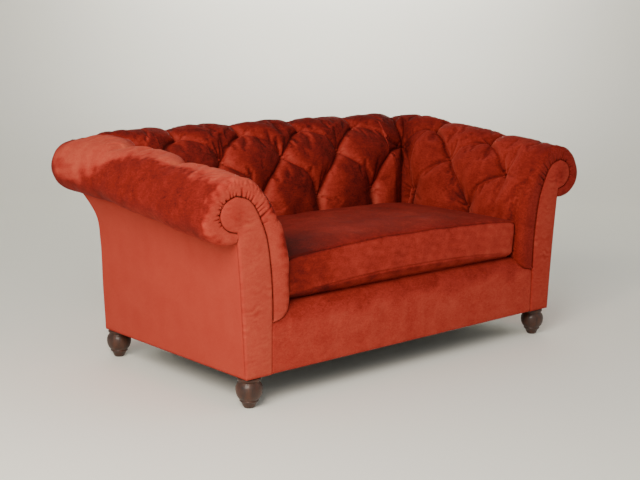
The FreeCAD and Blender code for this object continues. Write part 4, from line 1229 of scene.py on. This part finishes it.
# Radius and height of a foot
footProfile = [
    (0, 2), (16, 2), (18, 3), (19.5, 7), (22.5, 13.5), (25.2, 18.8), (26.4, 19.6), (28.4, 20.4), (29.2, 22.4),
    (28.6, 24.6), (27.8, 25.4), (31, 28.5), (35.8, 35), (39.8, 45.5), (41.3, 56), (40.8, 65), (37.6, 73.6),
    (33, 79.6), (31.8, 81.4), (32, 83), (33.6, 84.6), (35.6, 87), (36, 89.6), (35.4, 92.6), (33.6, 95),
    (32, 95.9), (0, 95.9),
]


def turnedFoot(name, node, sides=72):
    low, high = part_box(node)
    x, y = (low.x + high.x) / 2, (low.y + high.y) / 2
    profile = np.array(footProfile) * 0.001
    turns = np.arange(sides) / sides * 2 * math.pi
    points = [(x, y, profile[0, 1])]
    for r, z in profile[1:-1]:
        points += [(x + r * math.cos(t), y + r * math.sin(t), z) for t in turns]
    points.append((x, y, profile[-1, 1]))
    faces = []
    rings = len(profile) - 2
    for k in range(sides):
        k2 = (k + 1) % sides
        faces.append([0, 1 + k2, 1 + k])
        for i in range(rings - 1):
            a = 1 + i * sides
            faces.append([a + k, a + k2, a + sides + k2, a + sides + k])
        last = 1 + (rings - 1) * sides
        faces.append([last + k, last + k2, len(points) - 1])
    piece = outwards(meshPiece(name, points, faces, turnedWood, scale=1.0))
    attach(piece, "frame")
    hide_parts(node)
    return piece


for corner in ("front_left", "front_right", "rear_left", "rear_right"):
    turnedFoot(corner + "_turned_foot", corner + "_foot")


def seatDeck(name):
    # The cloth-covered deck that the cushion lies on, slightly crowned
    low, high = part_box("seat_deck")
    xx, yy = np.meshgrid(np.linspace(low.x, high.x, 90), np.linspace(low.y, high.y, 50), indexing="ij")
    edge = np.minimum(np.minimum(xx - low.x, high.x - xx), np.minimum(yy - low.y, high.y - yy))
    uneven = 0.0012 * lump(xx * 1000, yy * 1000, 71, 240.0) * smooth(edge / 0.03)
    zz = high.z - 0.007 * bell(edge, 0.012, 1.2) - 0.0035 * (1 - smooth(edge / 0.09)) + uneven - 0.0013
    front = np.stack([xx, yy, zz], axis=-1)
    back = front.copy()
    back[..., 2] = low.z + 0.0005
    piece = slab(name, front * 1000, back * 1000, deckCloth, np.zeros(xx.shape))
    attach(piece, "frame")
    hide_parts("seat_deck")


seatDeck("seat_deck_cloth")

underLook = {"plate": 0.0566, "gap": 0.0003, "below": 0.0011, "sag": 0.0015, "thick": 0.0006}


def dustCover(name):
    # Thin black cloth tacked under the base, cut out round the foot plates
    look = underLook
    low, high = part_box("dust_cover")
    plateLow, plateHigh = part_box("foot_plates")
    size, gap = look["plate"], look["gap"]
    cutX = [plateLow.x - gap, plateLow.x + size, plateHigh.x - size, plateHigh.x + gap]
    cutY = [plateLow.y - gap, plateLow.y + size, plateHigh.y - size, plateHigh.y + gap]
    x = np.unique(np.concatenate([np.linspace(low.x, high.x, 60), np.clip(cutX, low.x, high.x)]))
    y = np.unique(np.concatenate([np.linspace(low.y, high.y, 34), np.clip(cutY, low.y, high.y)]))
    points = []
    for a in x:
        for b in y:
            edge = min(a - low.x, high.x - a, b - low.y, high.y - b)
            points.append((a, b, high.z - look["below"] - look["sag"] * smooth(edge / 0.2)))
    faces = []
    for i in range(len(x) - 1):
        for j in range(len(y) - 1):
            mx, my = (x[i] + x[i + 1]) / 2, (y[j] + y[j + 1]) / 2
            if (mx < cutX[1] or mx > cutX[2]) and (my < cutY[1] or my > cutY[2]):
                continue
            a = i * len(y) + j
            faces.append([a, a + 1, a + len(y) + 1, a + len(y)])
    piece = meshPiece(name + "_flat", points, faces, cambric, scale=1.0)
    thick = piece.modifiers.new("thickness", "SOLIDIFY")
    thick.thickness = look["thick"]
    thick.offset = 0
    made = plainMesh(piece, name)
    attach(made, "frame")
    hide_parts("dust_cover")


dustCover("underside_cloth")

# The frame parts that keep their own shape
finishes = {"foot_plates": zincSteel, "foot_bolts": zincSteel, "foot_glides": nylon}
for node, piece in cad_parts.items():
    if piece.hide_render:
        continue
    finish = finishes.get(node, frameWood)
    if "webbing" in node:
        finish = juteWebbing
    elif "lining" in node:
        finish = hessian
    if not piece.material_slots:
        piece.data.materials.append(finish)
    for slotOf in piece.material_slots:
        slotOf.material = finish
print("frame parts finished")

view = {
    "place": (-2.8131, -3.1196, 1.1575),
    "yaw": 41.906,
    "pitch": 10.629,
    "roll": 0.0114072,
    "lens": 67.18,
}


def makeCamera(view):
    yaw, pitch = math.radians(view["yaw"]), math.radians(view["pitch"])
    forward = Vector((math.sin(yaw) * math.cos(pitch), math.cos(yaw) * math.cos(pitch), -math.sin(pitch)))
    right = forward.cross(Vector((0, 0, 1))).normalized()
    up = right.cross(forward)
    c, s = math.cos(view["roll"]), math.sin(view["roll"])
    place = Matrix((right * c + up * s, up * c - right * s, -forward)).transposed().to_4x4()
    place.translation = view["place"]
    data = bpy.data.cameras.new("camera")
    data.lens = view["lens"]
    data.sensor_width = 36.0
    data.clip_end = 50.0
    camera = bpy.data.objects.new("camera", data)
    camera.matrix_world = place
    bpy.context.scene.collection.objects.link(camera)
    bpy.context.scene.camera = camera


makeCamera(view)

studio = {
    "floor": "#f8f6ec",
    "world": "#e3e4e2",
    "worldStrength": 0.66,
    "reach": 9.0,
    "back": 4.2,
    "top": 4.0,
    "bend": 1.1,
}
# place, target, size, power, colour and spread of each light
lights = {
    "key": ((-2.8, -1.7, 2.1), (-0.2, 0, 0.4), (1.8, 1.6), 133.0, "#fff6ea", 180),
    "fill": ((3.2, -3.0, 2.4), (0, 0, 0.4), (2.4, 2.0), 9.0, "#eef3ff", 180),
    "wall": ((1.2, 1.3, 3.2), (2.8, 3.1, 1.8), (3.0, 0.8), 41.0, "#fffdf8", 60),
}


def areaLight(name, place, target, size, power, colour, spread):
    data = bpy.data.lights.new(name, "AREA")
    data.shape = "RECTANGLE"
    data.size, data.size_y = size
    data.energy = power
    data.spread = math.radians(spread)
    data.color = hexColour(colour)[:3]
    lamp = bpy.data.objects.new(name, data)
    lamp.location = place
    lamp.rotation_mode = "QUATERNION"
    lamp.rotation_quaternion = (Vector(target) - Vector(place)).to_track_quat("-Z", "Y")
    bpy.context.scene.collection.objects.link(lamp)


def makeStudio(studio):
    # A matt floor that sweeps up into a wall on the far side, square to the camera
    floorPaint = makePlain("paleFloorPaint", studio["floor"], studio["floor"], 333.3, 0.75)
    reach, back, bend = studio["reach"], studio["back"], studio["bend"]
    profile = [(-reach, 0.0), (back - bend, 0.0)]
    for k in range(1, 13):
        t = k / 12 * math.pi / 2
        profile.append((back - bend + bend * math.sin(t), bend * (1 - math.cos(t))))
    profile.append((back, studio["top"]))
    turn = math.radians(-view["yaw"])
    points = []
    for along, up in profile:
        for across in (-reach, reach):
            x = across * math.cos(turn) - along * math.sin(turn)
            y = across * math.sin(turn) + along * math.cos(turn)
            points.append((x, y, up))
    faces = [[2 * i, 2 * i + 1, 2 * i + 3, 2 * i + 2] for i in range(len(profile) - 1)]
    sweep = meshPiece("studio_sweep", points, faces, floorPaint, scale=1.0)
    for name, light in lights.items():
        areaLight(name, *light)
    world = bpy.data.worlds.new("studioLight")
    bpy.context.scene.world = world
    world.use_nodes = True
    background = world.node_tree.nodes["Background"]
    background.inputs["Color"].default_value = hexColour(studio["world"])
    background.inputs["Strength"].default_value = studio["worldStrength"]


makeStudio(studio)
